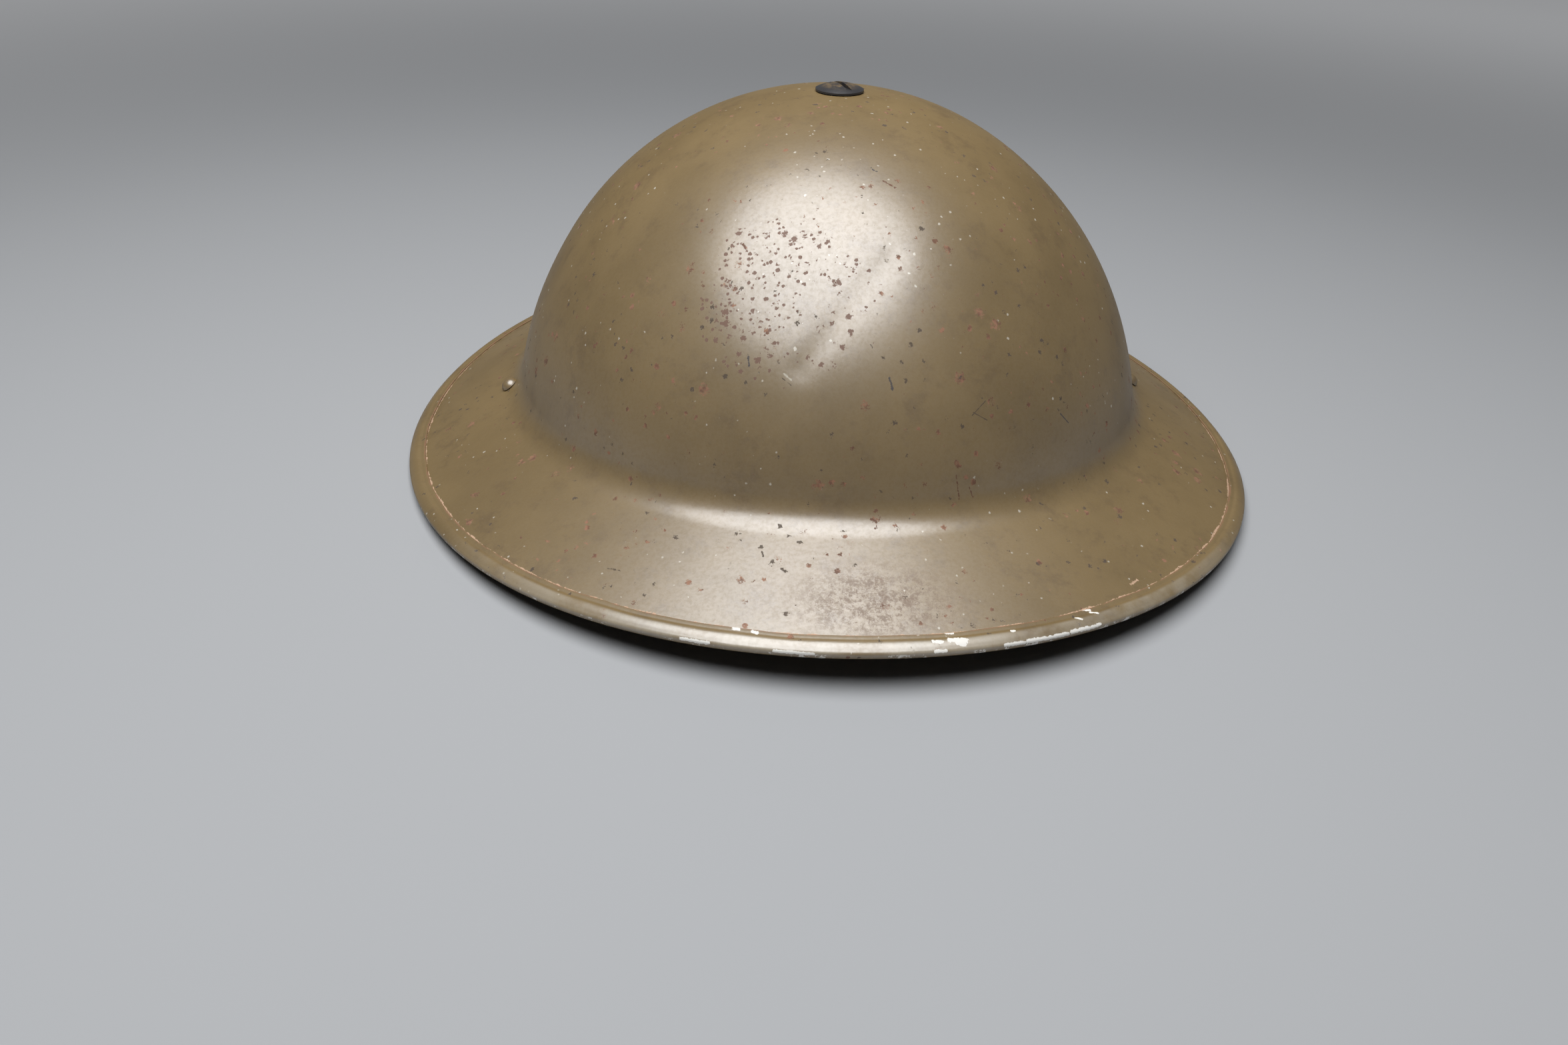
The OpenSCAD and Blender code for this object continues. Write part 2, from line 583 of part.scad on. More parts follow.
// Lug: a foot under the brim, a shelf inwards and two ears that hold the pin
lug_gap = 0.2;
ring_swing_gap = 0.5;
ring_room = (eye_r + wire_r + leg_dir.x * ear_w / 2) / leg_dir.y + ring_swing_gap;
shelf_z = pin_z + ring_room;
down_slope = [rivet_way.z, 0, -rivet_way.x];
foot_top = rivet_pt - (shell_t + lug_gap) * rivet_way;
foot_mid = foot_top - lug_t / 2 * rivet_way;
foot_in = (foot_mid.z - shelf_z - lug_t / 2) / down_slope.z;
foot_out = 5.5;
shelf_in_x = ring_x - ear_gap / 2 - lug_t;
module plate_run(a, b, w) {
    v = b - a;
    translate(a) rotate([0, -atan2(v.z, v.x), 0])
        translate([0, -w / 2, -lug_t / 2]) cube([norm(v), w, lug_t]);
}
module lug() difference() {
    bend = foot_mid - foot_in * down_slope;
    union() {
        plate_run(bend, foot_mid + foot_out * down_slope, foot_w);
        translate(bend) rotate([90, 0, 0]) cylinder(d = lug_t, h = ear_w, center = true);
        plate_run([shelf_in_x, lug_y, shelf_z + lug_t / 2], bend, ear_w);
        for (x = [shelf_in_x, ring_x + ear_gap / 2]) translate([x, lug_y, 0]) {
            translate([0, -ear_w / 2, pin_z]) cube([lug_t, ear_w, ring_room + lug_t / 2]);
            translate([0, 0, pin_z]) rotate([0, 90, 0]) cylinder(d = ear_w, h = lug_t);
        }
    }
    lug_hole();
    translate([0, lug_y, pin_z]) rotate([0, 90, 0])
        cylinder(r = pin_d / 2 + fit_gap, h = bowl_w);
}
module lug_left() color(steel) lug();
module lug_right() color(steel) mirror([1, 0, 0]) lug();

pin_head_t = 0.7;
pin_head_d = pin_d + 1.4;
pin_half = ear_gap / 2 + lug_t + fit_gap;
module lug_pin() translate([ring_x, lug_y, pin_z]) rotate([0, 90, 0]) {
    cylinder(d = pin_d, h = 2 * pin_half + pin_head_t, center = true);
    for (end = [-1, 1]) translate([0, 0, end * (pin_half + pin_head_t / 2)])
        cylinder(d = pin_head_d, h = pin_head_t, center = true);
}
module lug_pin_left() color(steel) lug_pin();
module lug_pin_right() color(steel) mirror([1, 0, 0]) lug_pin();

// Lug rivet: a dome outside, a shank and a turned tail under the lug's foot
rivet_seat = 0.35;
lug_tail_t = 1;
lug_tail_d = 1.7 * rivet_d;
rivet_dome_r = (pow(rivet_head_d / 2, 2) + pow(rivet_head_h, 2)) / (2 * rivet_head_h);
rivet_grip = shell_t + lug_gap + lug_t + fit_gap;
module lug_rivet() along_xz(rivet_pt, rivet_way) {
    translate([0, 0, rivet_seat]) intersection() {
        cylinder(d = rivet_head_d, h = rivet_head_h);
        translate([0, 0, rivet_head_h - rivet_dome_r]) sphere(r = rivet_dome_r);
    }
    translate([0, 0, -rivet_grip - lug_tail_t / 2])
        cylinder(d = rivet_d, h = rivet_grip + lug_tail_t / 2 + rivet_seat + fit_gap);
    translate([0, 0, -rivet_grip - lug_tail_t]) cylinder(d = lug_tail_d, h = lug_tail_t);
}
module lug_rivet_left() color(olive) lug_rivet();
module lug_rivet_right() color(olive) mirror([1, 0, 0]) lug_rivet();

// Webbing: sewn round one bar, turned back through the other bar and the slide.
// Its line is half an oval between the bars, seen from above
function strap_pt(turn) =
    [-ring_x * cos(turn), -ring_l - (strap_reach - ring_l) * sin(turn)];
bar_gap = 0.15;
loop_r = wire_r + bar_gap + web_t;
layer_gap = 0.7;
fold_turn = 17;
taper_turn = 8;
tail_past_slide = 13;
tail_turn = slide_angle + tail_past_slide;
second_in = 1.5 * web_t;   // inner face of a layer sewn on below
// From 1 at a bar down to 0, quick at first
function easing(turn) = pow(max(0, 1 - turn / taper_turn), 1.5);
function outer_side(turn) =
    lerp(web_t / 2, loop_r, easing(min(turn, 180 - turn)));
function inner_side(turn) = turn > 90 && 180 - turn < fold_turn
    ? lerp(second_in, loop_r, easing(180 - turn)) : web_t / 2;
function tail_side(turn) = lerp(second_in + layer_gap, loop_r, easing(turn));
function strap_way(turn) =
    unit([ring_x * sin(turn), -(strap_reach - ring_l) * cos(turn)]);
function strap_off(turn, out) =
    let (v = strap_way(turn)) strap_pt(turn) + out * [v.y, -v.x];
end_turns = [for (turn = [0 : 2 : taper_turn]) turn];
fold_step = 0.5;
strap_turns = concat(end_turns, [for (turn = [12 : 4 : 160]) turn],
    [180 - fold_turn, 180 - fold_turn + fold_step, 168], [for (t = turned(end_turns)) 180 - t]);
module web_cut(h, outline) translate([0, 0, -h / 2]) linear_extrude(h) polygon(outline);
function strap_band(turns, outs, ins) = concat(
    [for (i = [0 : len(turns) - 1]) strap_off(turns[i], outs[i])],
    turned([for (i = [0 : len(turns) - 1]) strap_off(turns[i], ins[i])]));
tail_turns = concat(end_turns, [for (turn = [12 : 4 : tail_turn - 1]) turn],
    [tail_turn]);
module chin_strap() color(webbing) on_strap() difference() {
    union() {
        web_cut(web_w, strap_band(strap_turns, [for (t = strap_turns) outer_side(t)],
            [for (t = strap_turns) -inner_side(t)]));
        web_cut(web_w, strap_band(tail_turns,
            [for (t = tail_turns) t < taper_turn ? 0 : -web_t / 2 - layer_gap],
            [for (t = tail_turns) -tail_side(t)]));
        for (turn = [0, 180]) translate(strap_pt(turn))
            cylinder(r = loop_r, h = web_w, center = true);
    }
    for (turn = [0, 180]) translate(strap_pt(turn))
        cylinder(r = wire_r + bar_gap, h = 2 * web_w, center = true);
}

// Slide: a flat box round both layers, with one window outside and two inside
slide_gap = 0.4;
slide_out = web_t / 2 + slide_gap;
slide_in = second_in + layer_gap + slide_gap;
slide_plate = 0.7 * slide_bar;   // thickness of the slide's flat sides
module at_strap(turn) {
    v = strap_way(turn);
    p = strap_pt(turn);
    translate([p.x, p.y, 0]) rotate(atan2(v.y, v.x)) children();
}
module strap_slide() color(brass) on_strap() at_strap(slide_angle) difference() {
    tall = web_w + 2 * slide_gap;
    window = slide_l - 2 * slide_bar;
    translate([-slide_l / 2, -slide_out - slide_plate, -tall / 2 - slide_bar])
        cube([slide_l, slide_out + slide_in + 2 * slide_plate, tall + 2 * slide_bar]);
    translate([-slide_l, -slide_out, -tall / 2]) cube([2 * slide_l, slide_out + slide_in, tall]);
    translate([-window / 2, -3 * slide_l, -tall / 2]) cube([window, 3 * slide_l, tall]);
    for (side = [-1, 1]) translate([side * (window + slide_bar) / 4, slide_l, 0])
        cube([(window - slide_bar) / 2, 2 * slide_l, tall], center = true);
}

// Tip: a folded metal end on the free layer
tip_t = 0.4;
tip_length = 5;        // along the strap, as an angle
tip_floor = 0.2;       // from the webbing's end to the tip's inside, as an angle
tip_past = 0.6;        // from the webbing's end to the tip's own end
tip_turns = [tail_turn - tip_length, tail_turn - tip_length / 2, tail_turn];
module strap_tip() color(brass) on_strap() difference() {
    free = web_t / 2 + layer_gap;
    web_cut(web_w + 2 * tip_t + 2 * fit_gap, strap_band(concat(tip_turns, [tail_turn + tip_past]),
        [for (i = [0 : 3]) -free + fit_gap + tip_t],
        [for (i = [0 : 3]) -free - web_t - fit_gap - tip_t]));
    web_cut(web_w + 2 * fit_gap, strap_band(
        concat([tail_turn - tip_length - 1], tip_turns, [tail_turn + tip_floor]),
        [for (i = [0 : 4]) -free + fit_gap], [for (i = [0 : 4]) -free - web_t - fit_gap]));
}

shell();
rim_band();
crown_screw();
crown_spacer();
crown_washer();
crown_nut();
cradle_strap_side();
cradle_strap_long();
cradle_rivets();
liner_band();
headband();
crown_pad();
rubber_buffers();
buffer_rivets();
lug_left();
lug_right();
lug_pin_left();
lug_pin_right();
lug_rivet_left();
lug_rivet_right();
strap_ring_left();
strap_ring_right();
chin_strap();
strap_slide();
strap_tip();
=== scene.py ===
# %% [markdown]
# A pressed steel helmet, painted olive, with its fibre liner and webbing chin strap.
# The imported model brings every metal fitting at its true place. This script gives each of
# them a finish, and lays finer surfaces over the sheet, the rim strip and the soft goods.

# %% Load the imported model
import math

import bpy
import numpy as np
from mathutils import Matrix


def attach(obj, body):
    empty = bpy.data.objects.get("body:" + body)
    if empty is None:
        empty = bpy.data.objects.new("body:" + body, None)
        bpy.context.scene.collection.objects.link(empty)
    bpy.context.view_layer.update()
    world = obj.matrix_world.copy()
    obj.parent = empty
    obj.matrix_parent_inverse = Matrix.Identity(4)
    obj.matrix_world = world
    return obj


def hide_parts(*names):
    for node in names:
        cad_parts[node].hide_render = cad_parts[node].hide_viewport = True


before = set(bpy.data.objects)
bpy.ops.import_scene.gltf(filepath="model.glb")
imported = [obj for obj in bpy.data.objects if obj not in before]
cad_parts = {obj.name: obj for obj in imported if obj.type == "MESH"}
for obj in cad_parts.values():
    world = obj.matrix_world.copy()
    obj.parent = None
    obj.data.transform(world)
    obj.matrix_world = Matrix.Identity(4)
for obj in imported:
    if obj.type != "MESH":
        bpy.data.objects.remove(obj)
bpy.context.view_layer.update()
MM = 0.001

# %% [markdown]
# The camera stands in front of the helmet, a little to its right side as worn, and looks
# down on it by about 30 degrees. Its place and turn come from matching the outline of the
# bowl and the brim, so the same curves fall on the same places of the picture.

# %% Camera
PICTURE_W = 2352
FOCAL_PX = 2061.0
SENSOR_MM = 36.0
CAMERA_AT = (-62.4 * MM, -445.1 * MM, 216.5 * MM)
CAMERA_RIGHT = (0.99528, -0.09159, 0.03218)
CAMERA_DOWN = (-0.01730, -0.49349, -0.86958)
CAMERA_AHEAD = (0.09553, 0.86491, -0.49275)

camera_data = bpy.data.cameras.new("camera")
camera_data.sensor_width = SENSOR_MM
camera_data.lens = FOCAL_PX / PICTURE_W * SENSOR_MM
camera_data.clip_start = 0.01
camera = bpy.data.objects.new("camera", camera_data)
turn_columns = np.array([CAMERA_RIGHT, [-v for v in CAMERA_DOWN], [-v for v in CAMERA_AHEAD]]).T
camera_place = Matrix(turn_columns.tolist()).to_4x4()
camera_place.translation = CAMERA_AT
camera.matrix_world = camera_place
bpy.context.scene.collection.objects.link(camera)
bpy.context.scene.camera = camera
bpy.context.scene.view_settings.view_transform = "Standard"
print("lens, mm:", round(camera_data.lens, 2))

# %% [markdown]
# One helper turns a grid of points into a mesh. Rows and columns may close on themselves,
# a form with open rows may get end faces, and a signed volume tells whether a closed form
# has its faces outwards, so it can be turned round as a whole.

# %% From a grid of points to a mesh
def grid_faces(rows, cols, rows_closed=False, cols_closed=False, ends=False):
    """The corners of all faces in one row of point numbers, and where each face starts. ends
    adds a face over the first and the last row."""
    ids = np.arange(rows * cols).reshape(rows, cols)
    first, last = ids[0, ::-1], ids[-1]
    if rows_closed:
        ids = np.vstack([ids, ids[:1]])
    if cols_closed:
        ids = np.hstack([ids, ids[:, :1]])
    corners = np.stack([ids[:-1, :-1], ids[:-1, 1:], ids[1:, 1:], ids[1:, :-1]], -1).ravel()
    starts = np.arange(0, corners.size, 4)
    if ends:
        starts = np.append(starts, [corners.size, corners.size + cols])
        corners = np.concatenate([corners, first, last])
    return corners, starts


def mesh_of(name, points, corners, starts, uv=None):
    """A smooth-shaded mesh. uv holds two numbers for each point, kept on the corners."""
    mesh = bpy.data.meshes.new(name)
    mesh.vertices.add(points.size // 3)
    mesh.vertices.foreach_set("co", points.astype(np.float32).ravel())
    mesh.loops.add(corners.size)
    mesh.loops.foreach_set("vertex_index", corners.astype(np.int32))
    mesh.polygons.add(starts.size)
    mesh.polygons.foreach_set("loop_start", starts.astype(np.int32))
    if uv is not None:
        layer = mesh.uv_layers.new(name="along")
        layer.data.foreach_set("uv", uv.reshape(-1, 2)[corners].astype(np.float32).ravel())
    mesh.update(calc_edges=True)
    mesh.validate()
    mesh.polygons.foreach_set("use_smooth", np.ones(len(mesh.polygons), bool))
    return mesh


def surface_mesh(name, grid, rows_closed=False, cols_closed=False, ends=False, uv=None):
    """A mesh through a rows x cols x 3 grid of points, a closed one with its faces outwards.
    uv is a rows x cols x 2 grid in metres along the surface."""
    corners, starts = grid_faces(*grid.shape[:2], rows_closed, cols_closed, ends)
    if cols_closed and (rows_closed or ends):
        points = grid.reshape(-1, 3) - grid.reshape(-1, 3).mean(0)
        quads = corners[:4 * (starts.size - 2 * ends)].reshape(-1, 4)
        a, b, c, d = (points[quads[:, k]] for k in range(4))
        if np.einsum("ij,ij->i", a, np.cross(b, c) + np.cross(c, d)).sum() < 0:
            corners = np.concatenate([part[::-1] for part in np.split(corners, starts[1:])])
    return mesh_of(name, grid, corners, starts, uv)


def place(mesh, body, material, replaced=()):
    """Puts a mesh into the scene: what it rides on and finish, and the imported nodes
    that it stands for."""
    piece = bpy.data.objects.new(mesh.name, mesh)
    bpy.context.scene.collection.objects.link(piece)
    mesh.materials.append(material)
    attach(piece, body)
    if replaced:
        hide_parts(*replaced)
    size = [round(v / MM, 1) for v in piece.dimensions]
    print(mesh.name, len(mesh.polygons), "faces,", size, "mm")
    return piece

# %% [markdown]
# The shell is one sheet, pressed in a single stroke: an oval bowl, a small rounded bend and
# a brim that droops at the sides. Bowl and rim are simple ovals. The bend between them is a
# curve with the corner of wall and brim as its middle control point, which is the shape a
# sheet takes over a die's rounded lip, so the whole skin is one function of two numbers:
# turn, round the helmet, and way, from the crown (0) over the wall's end (1) and the end of
# the bend (2) to the edge (3).

# %% The pressed skin as a function of turn and way
BRIM_W, BRIM_L = 290 * MM, 312 * MM
BOWL_W, BOWL_L, CROWN_H = 216 * MM, 236 * MM, 120.2 * MM
BOWL_SHIFT, BOWL_FOOT = 4 * MM, 5 * MM
BEND_SIDE_H, BEND_END_H, BEND_LEG = 21.5 * MM, 26.5 * MM, 6.5 * MM
RIM_RISE, SHEET_T, BEAD_R = 9.6 * MM, 1 * MM, 1.7 * MM
BOWL_H = CROWN_H - BOWL_FOOT


def joined(x, y, z):
    """x, y and z arrays of one shape as an array of points."""
    return np.stack(np.broadcast_arrays(x, y, z), -1)


def unit(v):
    return v / np.linalg.norm(v, axis=-1, keepdims=True)


def wave(low, high, turn):
    """low at the two sides, high at front and back, and a cosine between."""
    return (low + high) / 2 - (high - low) / 2 * np.cos(2 * turn)


def bowl_point(turn, climb):
    """Half an ellipsoid: the oval shrinks with the cosine of climb and rises with its sine."""
    return joined(BOWL_W / 2 * np.cos(climb) * np.cos(turn),
                  BOWL_SHIFT + BOWL_L / 2 * np.cos(climb) * np.sin(turn),
                  BOWL_FOOT + BOWL_H * np.sin(climb))


def rim_middle(turn):
    """The line inside the rounded rim: an oval that rises at front and back."""
    return joined((BRIM_W / 2 - BEAD_R) * np.cos(turn), (BRIM_L / 2 - BEAD_R) * np.sin(turn),
                  BEAD_R + wave(0, RIM_RISE, turn))


def skin_outside(turn, way):
    """The ellipsoid down to the wall's end, the bend's curve, then a straight line to the edge."""
    turn, way = np.broadcast_arrays(turn, way)
    wall_climb = np.arcsin((wave(BEND_SIDE_H, BEND_END_H, turn) + BEND_LEG - BOWL_FOOT) / BOWL_H)
    wall_end = bowl_point(turn, wall_climb)
    run_on = BEND_LEG / (BOWL_H * np.cos(wall_climb))
    corner = wall_end + run_on[..., None] * joined(
        BOWL_W / 2 * np.sin(wall_climb) * np.cos(turn),
        BOWL_L / 2 * np.sin(wall_climb) * np.sin(turn), -BOWL_H * np.cos(wall_climb))
    along = unit(rim_middle(turn) - corner)
    upward = unit(joined(-along[..., 0] * along[..., 2], -along[..., 1] * along[..., 2],
                         along[..., 0] ** 2 + along[..., 1] ** 2))
    edge = rim_middle(turn) + upward * SHEET_T / 2
    brim_start = corner + unit(edge - corner) * BEND_LEG
    part = np.clip(way, 0, 1)
    bowl = bowl_point(turn, np.pi / 2 + (wall_climb - np.pi / 2) * part)
    part = np.clip(way - 1, 0, 1)[..., None]
    bend = (1 - part) ** 2 * wall_end + 2 * part * (1 - part) * corner + part ** 2 * brim_start
    part = np.clip(way - 2, 0, 1)[..., None]
    brim = brim_start + (edge - brim_start) * part
    way = way[..., None]
    return np.where(way <= 1, bowl, np.where(way <= 2, bend, brim))


def skin_normal(turn, way):
    """Across the surface, outwards: the cross product of the steps down it and round it."""
    step = 0.004
    down = (skin_outside(turn, np.minimum(way + step, 3))
            - skin_outside(turn, np.maximum(way - step, 0.001)))
    along = skin_outside(turn + step, way) - skin_outside(turn - step, way)
    return unit(np.cross(down, along))


# %% [markdown]
# Eighty years of wear show in the reflections more than in the outline: the bowl has shallow
# dents and one long soft crease at the front. Each is a smooth hollow, deepest at its middle
# and gone at about twice its radius, so the sheet stays one surface.

# %% Dents and the crease
def dent_at(turn_deg, climb_deg, radius, depth):
    """A hollow whose middle is on the bowl at that turn and climb, sizes in millimetres."""
    return bowl_point(np.radians(turn_deg), np.radians(climb_deg)), radius * MM, depth * MM


DENTS = [dent_at(-112, 41, 13, 0.40), dent_at(-100, 36, 11, 0.30), dent_at(-127, 33, 15, 0.35),
         dent_at(-62, 40, 18, 0.35), dent_at(-38, 30, 20, 0.40), dent_at(-150, 42, 19, 0.30),
         dent_at(-84, 62, 16, 0.22), dent_at(10, 48, 22, 0.35), dent_at(62, 33, 18, 0.45),
         dent_at(118, 50, 24, 0.35), dent_at(168, 28, 17, 0.40), dent_at(-95, 20, 15, 0.30)]
CREASE_FROM, CREASE_TO = (bowl_point(np.radians(-84.9), np.radians(48.5)),
                          bowl_point(np.radians(-103), np.radians(31.5)))
CREASE_W, CREASE_DEPTH = 3.4 * MM, 0.38 * MM


def worn_depth(points):
    """How far the sheet is pushed in: hollows exp(-(distance / radius)^2), and the same across
    the crease, fading past its ends."""
    depth = np.zeros(points.shape[:-1])
    for middle, radius, deep in DENTS:
        depth += deep * np.exp(-((points - middle) ** 2).sum(-1) / radius ** 2)
    run = CREASE_TO - CREASE_FROM
    share = ((points - CREASE_FROM) @ run) / (run @ run)
    beside = points - CREASE_FROM - np.clip(share, 0, 1)[..., None] * run
    return depth + CREASE_DEPTH * np.exp(-(beside ** 2).sum(-1) / CREASE_W ** 2)


# %% [markdown]
# The sheet has an outside and an inside a millimetre apart. One closed loop of points runs
# from the screw's hole down the outside to the edge and back up the inside, and that loop is
# carried round the helmet. The UV map holds real lengths: round the helmet, and down from
# the edge of the sheet, so rust along the rim strip can follow the edge.

# %% The shell's grid
SCREW_HOLE_R = 2.6 * MM
WALL_END_CLIMB = np.radians(11.5)
FIRST_WAY = SCREW_HOLE_R / (BOWL_W / 2) / (np.pi / 2 - WALL_END_CLIMB)
SHELL_TURNS = 300
OUTSIDE_POINTS, INSIDE_POINTS = (96, 25, 27), (61, 17, 17)


def length_down(points):
    """Distance along each section, measured from its first point."""
    steps = np.linalg.norm(np.diff(points, axis=1), axis=-1)
    return np.concatenate([np.zeros((len(points), 1)), np.cumsum(steps, 1)], 1)


def ways_down(wall, bend, brim):
    """Ways from the screw's hole to the edge, with so many points on each stretch."""
    return np.concatenate([np.linspace(FIRST_WAY, 1, wall), np.linspace(1, 2, bend)[1:],
                           np.linspace(2, 3, brim)[1:]])[None, :]


def shell_grid():
    """Outside ways from the hole to the edge, then the inside ways back, for every turn."""
    turn = np.linspace(0, 2 * np.pi, SHELL_TURNS, endpoint=False)[:, None]
    out_way, in_way = ways_down(*OUTSIDE_POINTS), ways_down(*INSIDE_POINTS)[:, ::-1]
    outside, inside = skin_outside(turn, out_way), skin_outside(turn, in_way)
    outward, inward = skin_normal(turn, out_way), skin_normal(turn, in_way)
    outside = outside - worn_depth(outside)[..., None] * outward
    inside = inside - (worn_depth(inside) + SHEET_T)[..., None] * inward
    grid = np.concatenate([outside, inside], 1)
    down = length_down(grid)
    from_edge = down[:, out_way.size - 1:out_way.size] - down
    round_rim = turn * (BRIM_W + BRIM_L) / 4 + 0 * down
    return grid, np.stack([round_rim, from_edge], -1)


# %% [markdown]
# The rim strip is a U of thin mild steel, folded over the raw edge and spot welded, with its
# two ends butted at the back. Its outer fold is rounder than the sheet is thick, so the
# section is a bead with two flat legs. The flat legs are hand dressed and not quite even.

# %% The rim strip's section and its path
RIM_T, RIM_GAP, RIM_JOINT = 0.5 * MM, 0.1 * MM, 0.6 * MM
LEG_TOP, LEG_UNDER = 4.7 * MM, 4.2 * MM
RIM_SECTIONS = 420


def strip_profile():
    """(outwards, upwards) points round the strip's section: the flat leg, a small step up to a
    wide flattened roll, then the round edge, the lower leg, and back along the inside."""
    half = np.radians(np.linspace(40, -70, 12))
    back = np.radians(np.linspace(-55, 55, 9))
    top, low = RIM_GAP + RIM_T, -SHEET_T - RIM_GAP - RIM_T
    inner_r, middle = BEAD_R - RIM_T, -SHEET_T / 2
    leg = np.array([[-4.7, -0.25], [-4.62, -0.10], [-4.4, -0.02], [-3.5, 0.02], [-3.15, 0.06],
                    [-2.85, 0.20], [-2.55, 0.42], [-2.2, 0.56], [-1.7, 0.62], [-1.1, 0.61],
                    [-0.5, 0.53], [0.1, 0.38], [0.65, 0.17]]) * MM + [0, top]
    bead = np.stack([BEAD_R * np.cos(half), middle + BEAD_R * np.sin(half)], -1)
    low_leg = [[-LEG_UNDER * 0.2, low], [-LEG_UNDER, low], [-LEG_UNDER, -SHEET_T - RIM_GAP]]
    inside = np.stack([inner_r * np.cos(back), middle + inner_r * np.sin(back)], -1)
    return np.concatenate([leg, bead, low_leg, inside, [[-LEG_TOP, RIM_GAP]]])


def strip_point(turn, outwards, upwards):
    """A place on the strip's section, which stands upright on the brim's edge at every turn."""
    edge, up = skin_outside(turn, 3.0), skin_normal(turn, 3.0 + 0 * turn)
    out = edge - skin_outside(turn, 2.9)
    out = unit(out - (out * up).sum(-1, keepdims=True) * up)
    return edge + outwards * out + upwards * up


def strip_grid():
    """The section carried round the sheet's edge. Its inner leg wavers a little."""
    joint = math.asin(RIM_JOINT / BRIM_W)
    turn = np.linspace(np.pi / 2 + joint, 2.5 * np.pi - joint, RIM_SECTIONS)[:, None]
    outwards, upwards = strip_profile().T[:, None, :, None]
    sway = (0.10 * np.sin(23 * turn + 1) + 0.07 * np.sin(41 * turn + 2))[..., None] * MM
    outwards = outwards - sway * np.clip(-outwards / LEG_TOP, 0, 1)
    grid = strip_point(turn + 0 * outwards[..., 0], outwards, upwards)
    round_rim = turn * (BRIM_W + BRIM_L) / 4 + 0 * outwards[..., 0]
    return grid, np.stack([round_rim, length_down(grid)], -1)

# %% [markdown]
# Finishes are built from a few small node groups, each with one job: specks, drifts, fine
# grain and woven threads. A group only puts out masks and heights. The shader itself stays
# in each material, where its plain numbers are set directly.

# %% Node helpers
def fill_inputs(tree, node, inputs):
    """inputs are pairs of a socket's name or number with a value or another node's output."""
    for name, value in inputs:
        if isinstance(value, bpy.types.NodeSocket):
            tree.links.new(value, node.inputs[name])
        else:
            node.inputs[name].default_value = value


def add_node(tree, kind, inputs=(), **settings):
    """The outputs of a new node of that kind. settings are its properties."""
    made = tree.nodes.new("ShaderNode" + kind)
    for name, value in settings.items():
        setattr(made, name, value)
    fill_inputs(tree, made, inputs)
    return made.outputs


def math_node(tree, operation, *values, clamp=False):
    return add_node(tree, "Math", enumerate(values), operation=operation, use_clamp=clamp)[0]


def vector_node(tree, operation, *values):
    """The outputs of a Vector Math node: a vector (0) and a number (Value)."""
    return add_node(tree, "VectorMath", enumerate(values), operation=operation)


def scaled(tree, vector, scale):
    return add_node(tree, "VectorMath", [(0, vector), ("Scale", scale)], operation="SCALE")[0]


def part_of(tree, vector, axis):
    """One coordinate of a vector."""
    return add_node(tree, "SeparateXYZ", [("Vector", vector)])[axis]


def noise(tree, where, scale, detail, roughness=0.5):
    return add_node(tree, "TexNoise", [("Vector", where), ("Scale", scale), ("Detail", detail),
                                       ("Roughness", roughness)])


def blend_color(tree, factor, low, high):
    """One colour over another: factor 0 gives low, and 1 gives high."""
    low, high = ((*shade, 1) if isinstance(shade, tuple) else shade for shade in (low, high))
    return add_node(tree, "Mix", [(0, factor), (6, low), (7, high)], data_type="RGBA")[2]


def ramp(tree, value, low, high):
    """0 below low, 1 above high and a smooth step between."""
    return add_node(tree, "MapRange", [("Value", value), ("From Min", low), ("From Max", high)],
                    interpolation_type="SMOOTHSTEP")["Result"]


def masked(tree, mask, *others):
    """The product of masks and shares, kept between 0 and 1."""
    for other in others:
        mask = math_node(tree, "MULTIPLY", mask, other, clamp=True)
    return mask


def highest(tree, mask, *others):
    """The largest of several masks."""
    for other in others:
        mask = math_node(tree, "MAXIMUM", mask, other)
    return mask


def new_group(name, inputs, outputs):
    """An empty shader node group with number inputs, a vector input where the default is None,
    and number outputs. Gives the group, what it is given and the node that puts out."""
    tree = bpy.data.node_groups.new(name, "ShaderNodeTree")
    for socket, default in inputs:
        kind = "NodeSocketVector" if default is None else "NodeSocketFloat"
        made = tree.interface.new_socket(socket, in_out="INPUT", socket_type=kind)
        if default is not None:
            made.default_value = default
    for socket in outputs:
        tree.interface.new_socket(socket, in_out="OUTPUT", socket_type="NodeSocketFloat")
    return tree, tree.nodes.new("NodeGroupInput").outputs, tree.nodes.new("NodeGroupOutput")


def use_group(tree, group, **inputs):
    """The outputs of a group. Its inputs are named in lower case with underscores."""
    sockets = [(name.replace("_", " ").capitalize(), value) for name, value in inputs.items()]
    return add_node(tree, "Group", sockets, node_tree=group)


# %% [markdown]
# Specks: paint fails in small spots that come in clusters. A cell pattern puts one spot in
# each cell, a random number per cell decides whether it is there and how large it is, and a
# cloudy pattern makes them thick in one place and thin in another.

